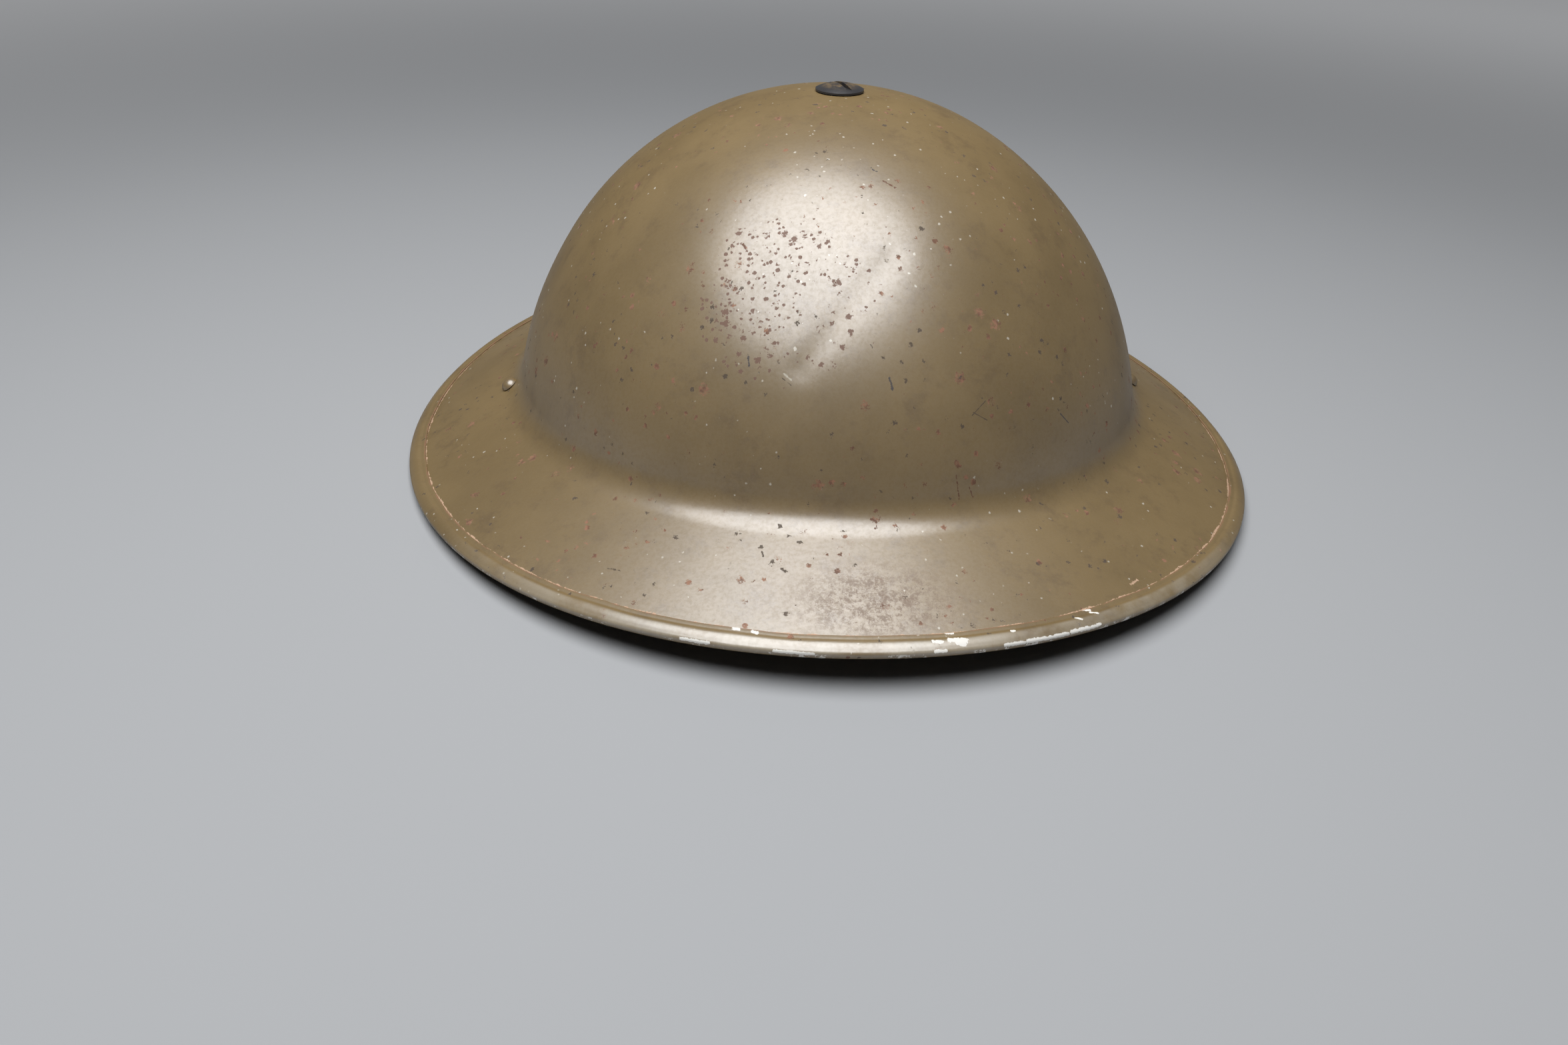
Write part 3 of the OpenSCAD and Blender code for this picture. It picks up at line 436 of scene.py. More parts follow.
# %% Group: specks
def make_specks():
    """Cell size in millimetres, spot size and ragged edge as shares of a cell, and the share of
    cells that hold a spot where the clouds are thick."""
    tree, given, out = new_group("specks", [("Where", None), ("Cell size", 4), ("Share", 0.3),
                                            ("Spot size", 0.3), ("Ragged", 0.3), ("Seed", 0)], ["Mask"])
    per_mm = math_node(tree, "DIVIDE", 1 / MM, given["Cell size"])
    offset = add_node(tree, "CombineXYZ", [("X", given["Seed"]), ("Y", given["Seed"])])[0]
    where = vector_node(tree, "ADD", given["Where"], offset)[0]
    wobble = vector_node(tree, "SUBTRACT", noise(tree, where, 1600, 3)["Color"], (0.5, 0.5, 0.5))[0]
    reach = math_node(tree, "MULTIPLY", given["Ragged"], math_node(tree, "DIVIDE", 1.0, per_mm))
    where = vector_node(tree, "ADD", where, scaled(tree, wobble, reach))[0]
    cells = add_node(tree, "TexVoronoi", [("Vector", where), ("Scale", per_mm)])
    chance = add_node(tree, "SeparateColor", [("Color", cells["Color"])])
    clouds = ramp(tree, noise(tree, where, 28, 2)["Fac"], 0.38, 0.66)
    present = math_node(tree, "LESS_THAN", chance["Red"], math_node(tree, "MULTIPLY", given["Share"], clouds))
    radius = math_node(tree, "MULTIPLY", given["Spot size"], math_node(tree, "POWER", chance["Green"], 1.5))
    inside = math_node(tree, "SUBTRACT", radius, cells["Distance"])
    soft = math_node(tree, "MULTIPLY", inside, 14.0, clamp=True)
    fill_inputs(tree, out, [("Mask", math_node(tree, "MULTIPLY", soft, present))])
    return tree


SPECKS = make_specks()
print("specks group:", len(SPECKS.nodes), "nodes")


def specks(tree, where, **sizes):
    return use_group(tree, SPECKS, where=where, **sizes)["Mask"]


# %% [markdown]
# Drifts: large soft patches of a second tone, as on paint that has faded and been rubbed.
# Grain: the fine unevenness of brushed or sprayed paint, which breaks up its reflections.
# Stroke: a scratch, a streak or a flake, drawn from one point of the surface to another.

# %% Groups: drifts, grain and stroke
def make_drifts():
    """Size in millimetres. The mask goes from 0 to 1 where the noise goes from low to high."""
    tree, given, out = new_group("drifts", [("Where", None), ("Size", 30), ("Low", 0.4), ("High", 0.6),
                                            ("Rough", 0.5)], ["Mask", "Value"])
    scale = math_node(tree, "DIVIDE", 1 / MM, given["Size"])
    value = noise(tree, given["Where"], scale, 6, given["Rough"])["Fac"]
    mask = ramp(tree, value, given["Low"], given["High"])
    fill_inputs(tree, out, [("Mask", mask), ("Value", value)])
    return tree


def make_grain():
    """Size in millimetres. Lumps is the share of a second noise, about six times as wide."""
    tree, given, out = new_group("grain", [("Where", None), ("Size", 1.5), ("Lumps", 0.5)], ["Height"])
    scale = math_node(tree, "DIVIDE", 1 / MM, given["Size"])
    fine = noise(tree, given["Where"], scale, 4, 0.55)["Fac"]
    wide = noise(tree, given["Where"], math_node(tree, "MULTIPLY", scale, 0.18), 3)["Fac"]
    lumps = math_node(tree, "MULTIPLY", wide, given["Lumps"])
    fill_inputs(tree, out, [("Height", math_node(tree, "ADD", fine, lumps))])
    return tree


def make_stroke():
    """1 within half a width of the line from one point to another, broken up by a noise."""
    tree, given, out = new_group("stroke", [("Where", None), ("Start", None), ("End", None), ("Width", 1),
                                            ("Broken", 0.5), ("Noise", 0.5)], ["Mask"])
    run = vector_node(tree, "SUBTRACT", given["End"], given["Start"])[0]
    gone = vector_node(tree, "SUBTRACT", given["Where"], given["Start"])[0]
    share = math_node(tree, "DIVIDE", vector_node(tree, "DOT_PRODUCT", gone, run)["Value"],
                      vector_node(tree, "DOT_PRODUCT", run, run)["Value"], clamp=True)
    far = vector_node(tree, "DISTANCE", gone, scaled(tree, run, share))["Value"]
    eaten = math_node(tree, "MULTIPLY", given["Noise"], given["Broken"])
    wide = math_node(tree, "MULTIPLY", math_node(tree, "SUBTRACT", 0.7, eaten),
                     math_node(tree, "MULTIPLY", given["Width"], MM))
    fill_inputs(tree, out, [("Mask", math_node(tree, "LESS_THAN", far, wide))])
    return tree


DRIFTS, GRAIN, STROKE = make_drifts(), make_grain(), make_stroke()
print("drifts, grain and stroke:", [len(group.nodes) for group in (DRIFTS, GRAIN, STROKE)], "nodes")


def drift(tree, where, output="Mask", **sizes):
    return use_group(tree, DRIFTS, where=where, **sizes)[output]


def grain(tree, where, size, lumps):
    return use_group(tree, GRAIN, where=where, size=size, lumps=lumps)["Height"]


# %% [markdown]
# The olive paint is the finish that matters most. Under it all is a warm khaki that drifts
# between two tones. Over that come pinkish rust specks in clusters, small dark pits, pale
# specks that are dust and also painted glints, brown pits that crowd on one place of the bowl,
# a line of rust that creeps out from under the rim strip, and a patch at the front of the brim
# where handling has rubbed the paint. The gloss is a satin, and a fine grain in the bump breaks
# the reflection of the lamp, as old brushed paint does.

# %% Finish: olive paint
OLIVE_DEEP, OLIVE_WARM = (0.172, 0.114, 0.042), (0.208, 0.140, 0.055)
STAIN, PIT = (0.105, 0.064, 0.026), (0.058, 0.040, 0.029)
RUST, RUST_PINK, RUST_BROWN = (0.120, 0.045, 0.025), (0.290, 0.135, 0.080), (0.165, 0.090, 0.065)
SEAM_RUST, BLUE_BLACK = (0.560, 0.370, 0.250), (0.040, 0.042, 0.055)
# The pale dust colour also paints glints in the specks and a painted highlight on the rim strip's roll.
PALE_DUST_AND_HIGHLIGHT, RUBBED, CHIPPED = (0.52, 0.48, 0.40), (0.185, 0.125, 0.090), (0.82, 0.80, 0.75)
RUBBED_AT, RUBBED_R = (-3 * MM, -139 * MM, 17 * MM), (32 * MM, 19 * MM, 19 * MM)
PITTED_AT, PITTED_R = (-24.5 * MM, -80.5 * MM, 80.5 * MM), (30 * MM, 30 * MM, 28 * MM)
SEAM_FROM, SEAM_TO = 4.5 * MM, 5.6 * MM
GRAIN_DEPTH, STRIP_GRAIN_DEPTH = 0.035 * MM, 0.03 * MM


def new_material(name):
    """A material with its shader and the object's own coordinates, in metres."""
    material = bpy.data.materials.new(name)
    material.use_nodes = True
    tree = material.node_tree
    return material, tree, tree.nodes["Principled BSDF"], add_node(tree, "TexCoord")["Object"]


def bump(tree, shader, height, strength, distance):
    """A height, in parts of distance metres, tilts the normals of the shader and its coat."""
    normal = add_node(tree, "Bump", [("Height", height), ("Strength", strength), ("Distance", distance)])[0]
    fill_inputs(tree, shader, [("Normal", normal), ("Coat Normal", normal)])


def along_surface(tree, axis):
    """A length along the surface, from the UV map."""
    return part_of(tree, add_node(tree, "UVMap", uv_map="along")[0], axis)


def near_spot(tree, where, middle, radii):
    """1 at the middle of a soft ellipsoid and 0 outside it, sizes in metres."""
    moved = vector_node(tree, "SUBTRACT", where, middle)[0]
    far = vector_node(tree, "LENGTH", vector_node(tree, "DIVIDE", moved, radii)[0])["Value"]
    return ramp(tree, far, 1.0, 0.25)


def paint_colour(tree, where, rust_share=0.75):
    """Olive drifts with specks of rust, pits, and pale specks of dust that are also painted glints
    over them. Gives colour, how broken the paint is, and where it is pitted."""
    tone = drift(tree, where, size=42.0, rough=0.62, low=0.34, high=0.66)
    colour = blend_color(tree, tone, OLIVE_DEEP, OLIVE_WARM)
    stains = drift(tree, where, size=13.0, rough=0.85, low=0.50, high=0.66)
    # Pale specks: dust, and painted glints of the lamp on the paint.
    dust_and_glints = specks(tree, where, cell_size=2.5, share=0.9, spot_size=0.21, seed=3.1)
    small = specks(tree, where, cell_size=2.9, share=rust_share, spot_size=0.35, ragged=0.8, seed=1.3)
    large = specks(tree, where, cell_size=6.5, share=0.8, spot_size=0.30, ragged=0.7, seed=2.2)
    large = masked(tree, large, drift(tree, where, size=1.3, rough=0.8, low=0.38, high=0.5))
    pits = specks(tree, where, cell_size=2.9, share=0.72, spot_size=0.30, ragged=0.9, seed=5.7)
    rust = blend_color(tree, drift(tree, where, size=2.0), RUST, RUST_PINK)
    for mask, strength, shade in ((stains, 0.4, STAIN), (dust_and_glints, 0.85, PALE_DUST_AND_HIGHLIGHT), (small, 0.85, rust),
                                  (large, 0.85, rust), (pits, 0.85, PIT)):
        colour = blend_color(tree, masked(tree, mask, strength), colour, shade)
    return colour, highest(tree, small, large, pits), pits


def satin(tree, shader, where, colour, broken, pits, grain_depth):
    """The paint's gloss: a satin coat where it is whole and faces the eye, dull where it is
    broken, over a fine grain. Only the pits go into the bump, since a bump works out all its
    masks three times over."""
    gloss = drift(tree, where, "Value", size=16.0, rough=0.7)
    rough = math_node(tree, "ADD", math_node(tree, "MULTIPLY_ADD", gloss, 0.16, 0.42),
                      math_node(tree, "MULTIPLY", broken, 0.35), clamp=True)
    sheen = drift(tree, where, size=1.3, rough=0.75, low=0.34, high=0.60)
    side_on = add_node(tree, "LayerWeight", [("Blend", 0.5)])["Facing"]
    coat = masked(tree, math_node(tree, "MULTIPLY_ADD", sheen, 0.34, 0.66),
                  math_node(tree, "MULTIPLY_ADD", broken, -0.9, 1.0), ramp(tree, side_on, 0.80, 0.20))
    fill_inputs(tree, shader, [("Base Color", colour), ("Roughness", rough), ("Specular IOR Level", 0.8),
                               ("Coat Weight", coat), ("Coat Roughness", 0.30), ("Coat IOR", 2.0)])
    height = math_node(tree, "SUBTRACT", grain(tree, where, 1.1, 1.4), math_node(tree, "MULTIPLY", pits, 0.5))
    bump(tree, shader, height, 0.55, grain_depth)


# %% [markdown]
# Marks that a helmet has gathered one by one can't come from an even pattern. Each is a
# stroke of one colour from one place of the surface to another, given by turn round the
# helmet and by climb, way or distance outwards. Their edges are eaten by a common noise.

# %% The marks and the three paints
def on_bowl(turn_deg, climb_deg):
    """A place on the bowl's outside, for a mark."""
    return tuple(float(v) for v in bowl_point(np.radians(turn_deg), np.radians(climb_deg)))


def on_brim(turn_deg, way):
    """A place on the outside by turn and way, for a mark."""
    return tuple(float(v) for v in skin_outside(np.radians(turn_deg), way))


def on_strip(turn_deg, outwards_mm):
    """A place on the rim strip's outer face, for a mark."""
    face = strip_profile()
    face = face[:face[:, 0].argmax() + 1]
    upwards = np.interp(outwards_mm * MM, face[:, 0], face[:, 1])
    return tuple(float(v) for v in strip_point(np.radians(turn_deg), outwards_mm * MM, upwards))


MARKS = [  # colour, then start, end, width in mm and how broken, for each mark
    (PALE_DUST_AND_HIGHLIGHT, [(on_bowl(-105.7, 30.8), on_bowl(-104.4, 30.0), 1.2, 0.9)]),
    (PIT, [(on_bowl(-106.0, 30.2), on_bowl(-104.3, 29.3), 0.6, 0.9),
           (on_bowl(-73.3, 24.6), on_bowl(-70.4, 26.3), 0.5, 0.9),
           (on_bowl(-73.0, 25.0), on_bowl(-70.6, 23.6), 0.5, 0.9),
           (on_brim(257.0, 2.31), on_brim(257.6, 2.33), 2.2, 1.1),
           (on_brim(254.0, 2.17), on_brim(254.4, 2.21), 1.6, 1.1),
           (on_brim(235.0, 2.59), on_brim(236.6, 2.58), 1.5, 1.2)]),
    (BLUE_BLACK, [(on_bowl(-54.6, 21.4), on_bowl(-52.9, 19.6), 0.8, 0.9),
                  (on_brim(272.5, 0.78), on_brim(272.9, 0.80), 1.6, 1.1),
                  (on_brim(247.4, 0.75), on_brim(248.0, 0.77), 1.6, 1.1),
                  (on_brim(274.3, 0.335), on_brim(276.0, 0.345), 1.8, 1.0)]),
    (RUST, [(on_bowl(-76.8, 16.5), on_bowl(-76.4, 13.0), 1.6, 1.2),
            (on_bowl(-74.6, 14.5), on_bowl(-74.0, 13.0), 1.3, 1.2),
            (on_brim(277.4, 0.37), on_brim(280.6, 0.39), 1.6, 1.0),
            (on_brim(240.5, 0.54), on_brim(241.8, 0.55), 3.0, 1.2),
            (on_brim(234.4, 0.63), on_brim(235.2, 0.64), 2.6, 1.2),
            (on_brim(255.4, 0.66), on_brim(256.4, 0.67), 3.0, 1.2),
            (on_brim(261.0, 0.59), on_brim(262.6, 0.60), 2.8, 1.2),
            (on_brim(269.4, 1.48), on_brim(270.0, 1.52), 2.4, 1.0)]),
    (SEAM_RUST, [(on_brim(302.0, 2.80), on_brim(303.4, 2.79), 2.8, 1.2)])]
CHIPS = [  # turn and distance outwards at both ends, width in mm
    (252.8, -4.5, 253.4, -4.3, 2.0), (254.9, -4.0, 255.4, -3.8, 1.8), (275.9, -4.6, 276.6, -4.5, 1.8),
    (276.0, -1.7, 277.7, -1.2, 2.8), (276.8, -0.8, 277.4, -0.2, 2.4), (274.2, -1.6, 275.0, -1.4, 2.0),
    (274.2, 1.2, 275.3, 1.2, 1.6), (283.2, -2.4, 283.5, -2.3, 1.4), (293.1, -4.7, 293.9, -3.9, 1.2),
    (293.8, -3.2, 294.4, -2.0, 1.3), (291.4, -2.6, 292.0, -1.5, 1.2), (282.0, 1.4, 284.2, 1.4, 1.7),
    (284.6, 1.3, 287.4, 1.4, 2.0), (287.7, 1.4, 289.6, 1.4, 1.8), (290.1, 1.3, 292.2, 1.2, 2.0),
    (292.3, 1.4, 294.0, 1.2, 1.7), (247.5, 1.4, 250.5, 1.4, 1.5), (257.5, 1.4, 261.5, 1.5, 1.4)]


def strokes_mask(tree, where, strokes):
    """One mask for many strokes, whose edges are eaten by the same noise."""
    edge = noise(tree, where, 1100, 4, 0.7)["Fac"]
    return highest(tree, 0.0, *(use_group(tree, STROKE, where=where, start=start, end=end, width=width,
                                          broken=ragged, noise=edge)["Mask"]
                                for start, end, width, ragged in strokes))


def shell_paint():
    material, tree, shader, where = new_material("olive_paint_shell")
    colour, broken, pits = paint_colour(tree, where)
    for shade, strokes in MARKS:
        mark = strokes_mask(tree, where, strokes)
        colour = blend_color(tree, masked(tree, mark, 0.85), colour, shade)
        broken = highest(tree, broken, mark)
    crowded = math_node(tree, "MULTIPLY", near_spot(tree, where, PITTED_AT, PITTED_R), 5.0)
    coarse = specks(tree, where, cell_size=2.4, share=crowded, spot_size=0.52, ragged=0.9, seed=8.4)
    fine = specks(tree, where, cell_size=1.3, share=crowded, spot_size=0.55, ragged=0.7, seed=4.6)
    pitted = highest(tree, coarse, fine)
    worn = masked(tree, near_spot(tree, where, RUBBED_AT, RUBBED_R),
                  drift(tree, where, size=4.0, rough=1.0, low=0.46, high=0.56))
    from_edge = along_surface(tree, "Y")
    creep = drift(tree, where, size=9.0, rough=0.8, low=0.30, high=0.72)
    reach = math_node(tree, "MULTIPLY_ADD", creep, SEAM_TO - SEAM_FROM, SEAM_FROM)
    seam = masked(tree, ramp(tree, from_edge, 0.1 * MM, 0.2 * MM),
                  math_node(tree, "LESS_THAN", from_edge, reach),
                  drift(tree, where, size=1.1, rough=0.6, low=0.36, high=0.48))
    for mask, strength, shade in ((pitted, 0.9, RUST_BROWN), (worn, 0.8, RUBBED), (seam, 0.9, SEAM_RUST)):
        colour = blend_color(tree, masked(tree, mask, strength), colour, shade)
    broken = highest(tree, broken, pitted, seam, math_node(tree, "MULTIPLY", worn, 0.8))
    satin(tree, shader, where, colour, broken, pits, GRAIN_DEPTH)
    return material


def strip_paint():
    """The rim strip takes the knocks: its roll is rubbed pale, and at the front that pale is also a painted
    highlight. Its lower edge is chipped.
    """
    material, tree, shader, where = new_material("olive_paint_strip")
    colour, broken, pits = paint_colour(tree, where, rust_share=0.3)
    down, front = along_surface(tree, "Y"), part_of(tree, where, "Y")
    roll = masked(tree, ramp(tree, down, 2.4 * MM, 3.4 * MM), ramp(tree, down, 7.6 * MM, 6.2 * MM))
    # Rubbed paint, and a painted highlight: the pale on the roll, strongest at the front, brightens it like
    # the lamp's reflection.
    rubbed_and_highlight = masked(tree, roll, drift(tree, where, size=14.0, rough=0.6, low=0.25, high=0.6),
                    ramp(tree, front, -70 * MM, -140 * MM))
    lip_rust = masked(tree, ramp(tree, down, 0.7 * MM, 0.2 * MM),
                      drift(tree, where, size=5.0, rough=0.8, low=0.4, high=0.6))
    low_edge = masked(tree, ramp(tree, down, 6.6 * MM, 7.2 * MM), ramp(tree, down, 9.2 * MM, 8.2 * MM))
    chips = masked(tree, drift(tree, where, size=7.0, rough=0.85, low=0.55, high=0.57), low_edge,
                   ramp(tree, front, 20 * MM, -90 * MM))
    known = [(on_strip(turn_from, out_from), on_strip(turn_to, out_to), width, 0.8)
             for turn_from, out_from, turn_to, out_to, width in CHIPS]
    chips = highest(tree, chips, strokes_mask(tree, where, known))
    for mask, strength, shade in ((rubbed_and_highlight, 0.4, PALE_DUST_AND_HIGHLIGHT), (lip_rust, 0.8, RUST_PINK), (chips, 1.0, CHIPPED)):
        colour = blend_color(tree, masked(tree, mask, strength), colour, shade)
    satin(tree, shader, where, colour, highest(tree, broken, chips), pits, STRIP_GRAIN_DEPTH)
    return material


def small_paint():
    """The same paint on the rivet heads, with fewer specks."""
    material, tree, shader, where = new_material("olive_paint_rivet")
    colour, broken, pits = paint_colour(tree, where, rust_share=0.2)
    satin(tree, shader, where, colour, broken, pits, STRIP_GRAIN_DEPTH)
    return material


PAINT_SHELL, PAINT_STRIP, PAINT_SMALL = shell_paint(), strip_paint(), small_paint()
print("paint materials:", PAINT_SHELL.name, PAINT_STRIP.name, PAINT_SMALL.name)

# %% [markdown]
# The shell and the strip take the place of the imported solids, which are the same forms with
# coarser facets.

# %% Shell and rim strip
HELMET, STRAP = "helmet", "chin_strap_set"
grid, uv = shell_grid()
place(surface_mesh("shell_sheet", grid, True, True, uv=uv), HELMET, PAINT_SHELL, ["shell"])
grid, uv = strip_grid()
place(surface_mesh("rim_strip", grid, cols_closed=True, ends=True, uv=uv),
      HELMET, PAINT_STRIP, ["rim_band"])

# %% [markdown]
# The rest of the finishes. Bare steel has dulled and carries thin rust in patches. The
# screw's head was blackened, and paint has been rubbed over its top. Brass has gone brown in
# patches. The crossed straps and the band of the liner are hard red-brown fibre board, sealed
# with varnish.

# %% Finishes: metals, fibre, rubber and leather
STEEL, STEEL_RUST = (0.33, 0.32, 0.30), (0.115, 0.050, 0.026)
BRASS, BRASS_BROWN = (0.42, 0.29, 0.12), (0.14, 0.085, 0.04)
SCREW_BLACK, SCREW_RUBBED = (0.035, 0.034, 0.036), (0.150, 0.105, 0.055)
FIBRE, FIBRE_WORN = (0.105, 0.042, 0.026), (0.180, 0.090, 0.055)
RUBBER, RUBBER_DUSTY = (0.030, 0.029, 0.028), (0.075, 0.068, 0.058)
LEATHER, LEATHER_WORN = (0.12, 0.055, 0.025), (0.21, 0.11, 0.055)
SCREW_TOP_Z = 121.4 * MM


def finish_of(name, low, high, size, rough, metallic=0.0, grain_size=0.8, grain_depth=0.03 * MM,
              spread=(0.4, 0.62)):
    """A finish of two tones that drift into each other, with a grain of its own."""
    material, tree, shader, where = new_material(name)
    tone = use_group(tree, DRIFTS, where=where, size=size, rough=0.7, low=spread[0], high=spread[1])
    rough = math_node(tree, "MULTIPLY_ADD", tone["Value"], 0.3, rough - 0.15)
    fill_inputs(tree, shader, [("Base Color", blend_color(tree, tone["Mask"], low, high)),
                               ("Roughness", rough), ("Metallic", metallic)])
    bump(tree, shader, grain(tree, where, grain_size, 1.0), 0.5, grain_depth)
    return material


def screw_black():
    """Blackened steel, with khaki paint left on the top of the dome and lost from the slot."""
    material, tree, shader, where = new_material("blackened_screw")
    kept = masked(tree, ramp(tree, part_of(tree, where, "Z"), SCREW_TOP_Z, SCREW_TOP_Z + 1.0 * MM),
                  drift(tree, where, size=5.0, rough=0.75, low=0.40, high=0.56))
    fill_inputs(tree, shader, [("Base Color", blend_color(tree, kept, SCREW_BLACK, SCREW_RUBBED)),
                               ("Roughness", math_node(tree, "MULTIPLY_ADD", kept, 0.1, 0.36))])
    bump(tree, shader, grain(tree, where, 0.9, 1.5), 0.6, 0.06 * MM)
    return material


SIDES = ("left", "right")
PACKED_FINISHES = [
    (PAINT_SMALL, ["lug_rivet_" + side for side in SIDES]),
    (screw_black(), ["crown_screw"]),
    (finish_of("dull_steel", STEEL_RUST, STEEL, 5.0, 0.42, metallic=0.85, spread=(0.36, 0.5)),
     ["crown_washer", "crown_nut"] + [part + side for part in ("lug_", "lug_pin_", "strap_ring_")
                                      for side in SIDES]),
    (finish_of("brown_brass", BRASS_BROWN, BRASS, 3.5, 0.38, metallic=0.9),
     ["cradle_rivets", "buffer_rivets", "strap_slide", "strap_tip"]),
    (finish_of("fibre_board", FIBRE, FIBRE_WORN, 14.0, 0.40, grain_size=0.5, grain_depth=0.05 * MM),
     ["cradle_strap_side", "cradle_strap_long", "liner_band"]),
    (finish_of("old_rubber", RUBBER, RUBBER_DUSTY, 9.0, 0.72, grain_size=0.6), ["rubber_buffers"]),
    (finish_of("spacer_leather", LEATHER, LEATHER_WORN, 6.0, 0.6, grain_size=0.7, grain_depth=0.12 * MM),
     ["crown_spacer"])]
for finish, nodes in PACKED_FINISHES:
    for node in nodes:
        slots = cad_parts[node].data.materials
        slots.clear()
        slots.append(finish)
print("packed nodes with a finish:", sum(len(nodes) for finish, nodes in PACKED_FINISHES))

# %% [markdown]
# Padding. A sewn cover is drawn a little slack, held along its seams and blown up from inside
# by cloth simulation, as felt does when it is stuffed into the cover. The cloth may stretch a
# little, so it puckers beside each seam, and no point may leave the room that it has.

# %% Filling a sewn cover
FILL_FRAMES = 20


def points_of(mesh):
    points = np.empty(len(mesh.vertices) * 3, np.float32)
    mesh.vertices.foreach_get("co", points)
    return points.reshape(-1, 3)


def fill_cover(mesh, sewn, pressure, slack, cap):
    """Simulates the closed mesh as cloth under an even pressure. sewn is 1 for each point that
    is held by a seam and 0 for a free one. slack is how much longer the cloth is than the mesh,
    as a share, and cap the furthest that a point may move, in metres."""
    start = points_of(mesh)
    cover = bpy.data.objects.new("cover", mesh.copy())
    scene = bpy.context.scene
    scene.collection.objects.link(cover)
    cover.vertex_groups.new(name="sewn").add(np.flatnonzero(sewn > 0.5).tolist(), 1.0, "REPLACE")
    cloth = cover.modifiers.new("cloth", "CLOTH")
    cloth.settings.quality = 6
    cloth.settings.mass = 0.15
    cloth.settings.vertex_group_mass = "sewn"
    cloth.settings.use_pressure = True
    cloth.settings.uniform_pressure_force = pressure
    cloth.settings.shrink_min = -slack
    cloth.settings.effector_weights.gravity = 0
    cloth.collision_settings.use_collision = False
    cloth.point_cache.frame_start, cloth.point_cache.frame_end = 1, FILL_FRAMES
    for number in range(1, FILL_FRAMES + 1):
        scene.frame_set(number)
    moved = points_of(cover.evaluated_get(bpy.context.evaluated_depsgraph_get()).data) - start
    scene.frame_set(1)
    bpy.data.objects.remove(cover)
    far = np.linalg.norm(moved, axis=1)
    moved *= (np.minimum(far, cap) / np.maximum(far, 1e-9))[:, None]
    mesh.vertices.foreach_set("co", (start + moved).ravel())
    mesh.update()
    print("mean and largest move, mm:", round(far.mean() / MM, 2), round(far.max() / MM, 2))


def place_padded(mesh, replaced):
    """A filled cover in its place, with one level of subdivision, the same in the render."""
    piece = place(mesh, HELMET, OILCLOTH, replaced)
    finer = piece.modifiers.new("finer", "SUBSURF")
    finer.levels = finer.render_levels = 1


# %% [markdown]
# Oilcloth: woven cotton under a black glaze that has gone brown and crazed, with a fine grain
# under the cracks. Thread is waxed linen. Stitches are real: each is a short swollen bar that
# lies along its seam.

# %% Finishes: oilcloth and thread, and the stitches
OILCLOTH_BLACK, OILCLOTH_BROWN = (0.028, 0.024, 0.022), (0.105, 0.068, 0.042)
THREAD, THREAD_PALE = (0.36, 0.30, 0.20), (0.46, 0.40, 0.29)


def oilcloth_finish():
    material, tree, shader, where = new_material("oilcloth")
    worn = drift(tree, where, size=12.0, rough=0.75, low=0.42, high=0.72)
    fill_inputs(tree, shader, [("Base Color", blend_color(tree, worn, OILCLOTH_BLACK, OILCLOTH_BROWN)),
                               ("Roughness", math_node(tree, "MULTIPLY_ADD", worn, 0.28, 0.30))])
    crazed = add_node(tree, "TexVoronoi", [("Vector", where), ("Scale", 420)], feature="DISTANCE_TO_EDGE")
    cracks = math_node(tree, "MULTIPLY", ramp(tree, crazed["Distance"], 0.0, 0.07), 0.8)
    bump(tree, shader, math_node(tree, "ADD", cracks, grain(tree, where, 0.55, 0.6)), 0.6, 0.07 * MM)
    return material


OILCLOTH = oilcloth_finish()
THREAD_FINISH = finish_of("waxed_thread", THREAD, THREAD_PALE, 2.0, 0.7, grain_size=0.25)
STITCH_RINGS, STITCH_SIDES = 5, 6


def lengths_along(line):
    """The distance from a line's first point to each of its points."""
    return np.concatenate([[0], np.cumsum(np.linalg.norm(np.diff(line, axis=0), axis=1))])


def at_lengths(line, known, wanted):
    """Points of the line at the wanted lengths."""
    return np.stack([np.interp(wanted, known, line[:, k]) for k in range(line.shape[1])], -1)


def stitch_ends(line, pitch, share):
    """Starts and ends of stitches along a line of points: one each pitch, share of it long."""
    known = lengths_along(line)
    count = max(int(known[-1] / pitch), 1)
    first = (np.arange(count) + (1 - share) / 2) * known[-1] / count
    return at_lengths(line, known, first), at_lengths(line, known, first + share * known[-1] / count)


def place_stitches(name, lines, pitch, share, thickness, body):
    """A bar from each start to each end: its radius swells as the root of a sine."""
    pairs = [stitch_ends(line, pitch, share) for line in lines]
    starts, ends = (np.concatenate(side) for side in zip(*pairs))
    way = ends - starts
    length = np.linalg.norm(way, axis=-1, keepdims=True)
    way = way / length
    helper = np.where(np.abs(way[:, 2:]) < 0.9, [0.0, 0.0, 1.0], [1.0, 0.0, 0.0])
    side = unit(np.cross(way, helper))
    other = np.cross(way, side)
    part = np.linspace(0.02, 0.98, STITCH_RINGS)
    swell = thickness / 2 * np.sqrt(np.sin(np.pi * part))
    turn = np.linspace(0, 2 * np.pi, STITCH_SIDES, endpoint=False)[:, None]
    rings = (starts[:, None, None] + (length * part)[:, :, None, None] * way[:, None, None]
             + swell[None, :, None, None] * (np.cos(turn) * side[:, None, None]
                                             + np.sin(turn) * other[:, None, None]))
    corners, faces = grid_faces(STITCH_RINGS, STITCH_SIDES, cols_closed=True, ends=True)
    bar = np.arange(len(rings))[:, None]
    mesh = mesh_of(name, rings, (corners + bar * STITCH_RINGS * STITCH_SIDES).ravel(),
                   (faces + bar * corners.size).ravel())
    place(mesh, body, THREAD_FINISH)


# %% [markdown]
# The headband lines the fibre band. It is oilcloth over felt, crowned towards the head, with
# a hem that turns out under the band's lower edge. Upright seams divide it into channels, so
# the cover swells between them. The section is carried round the band's oval.

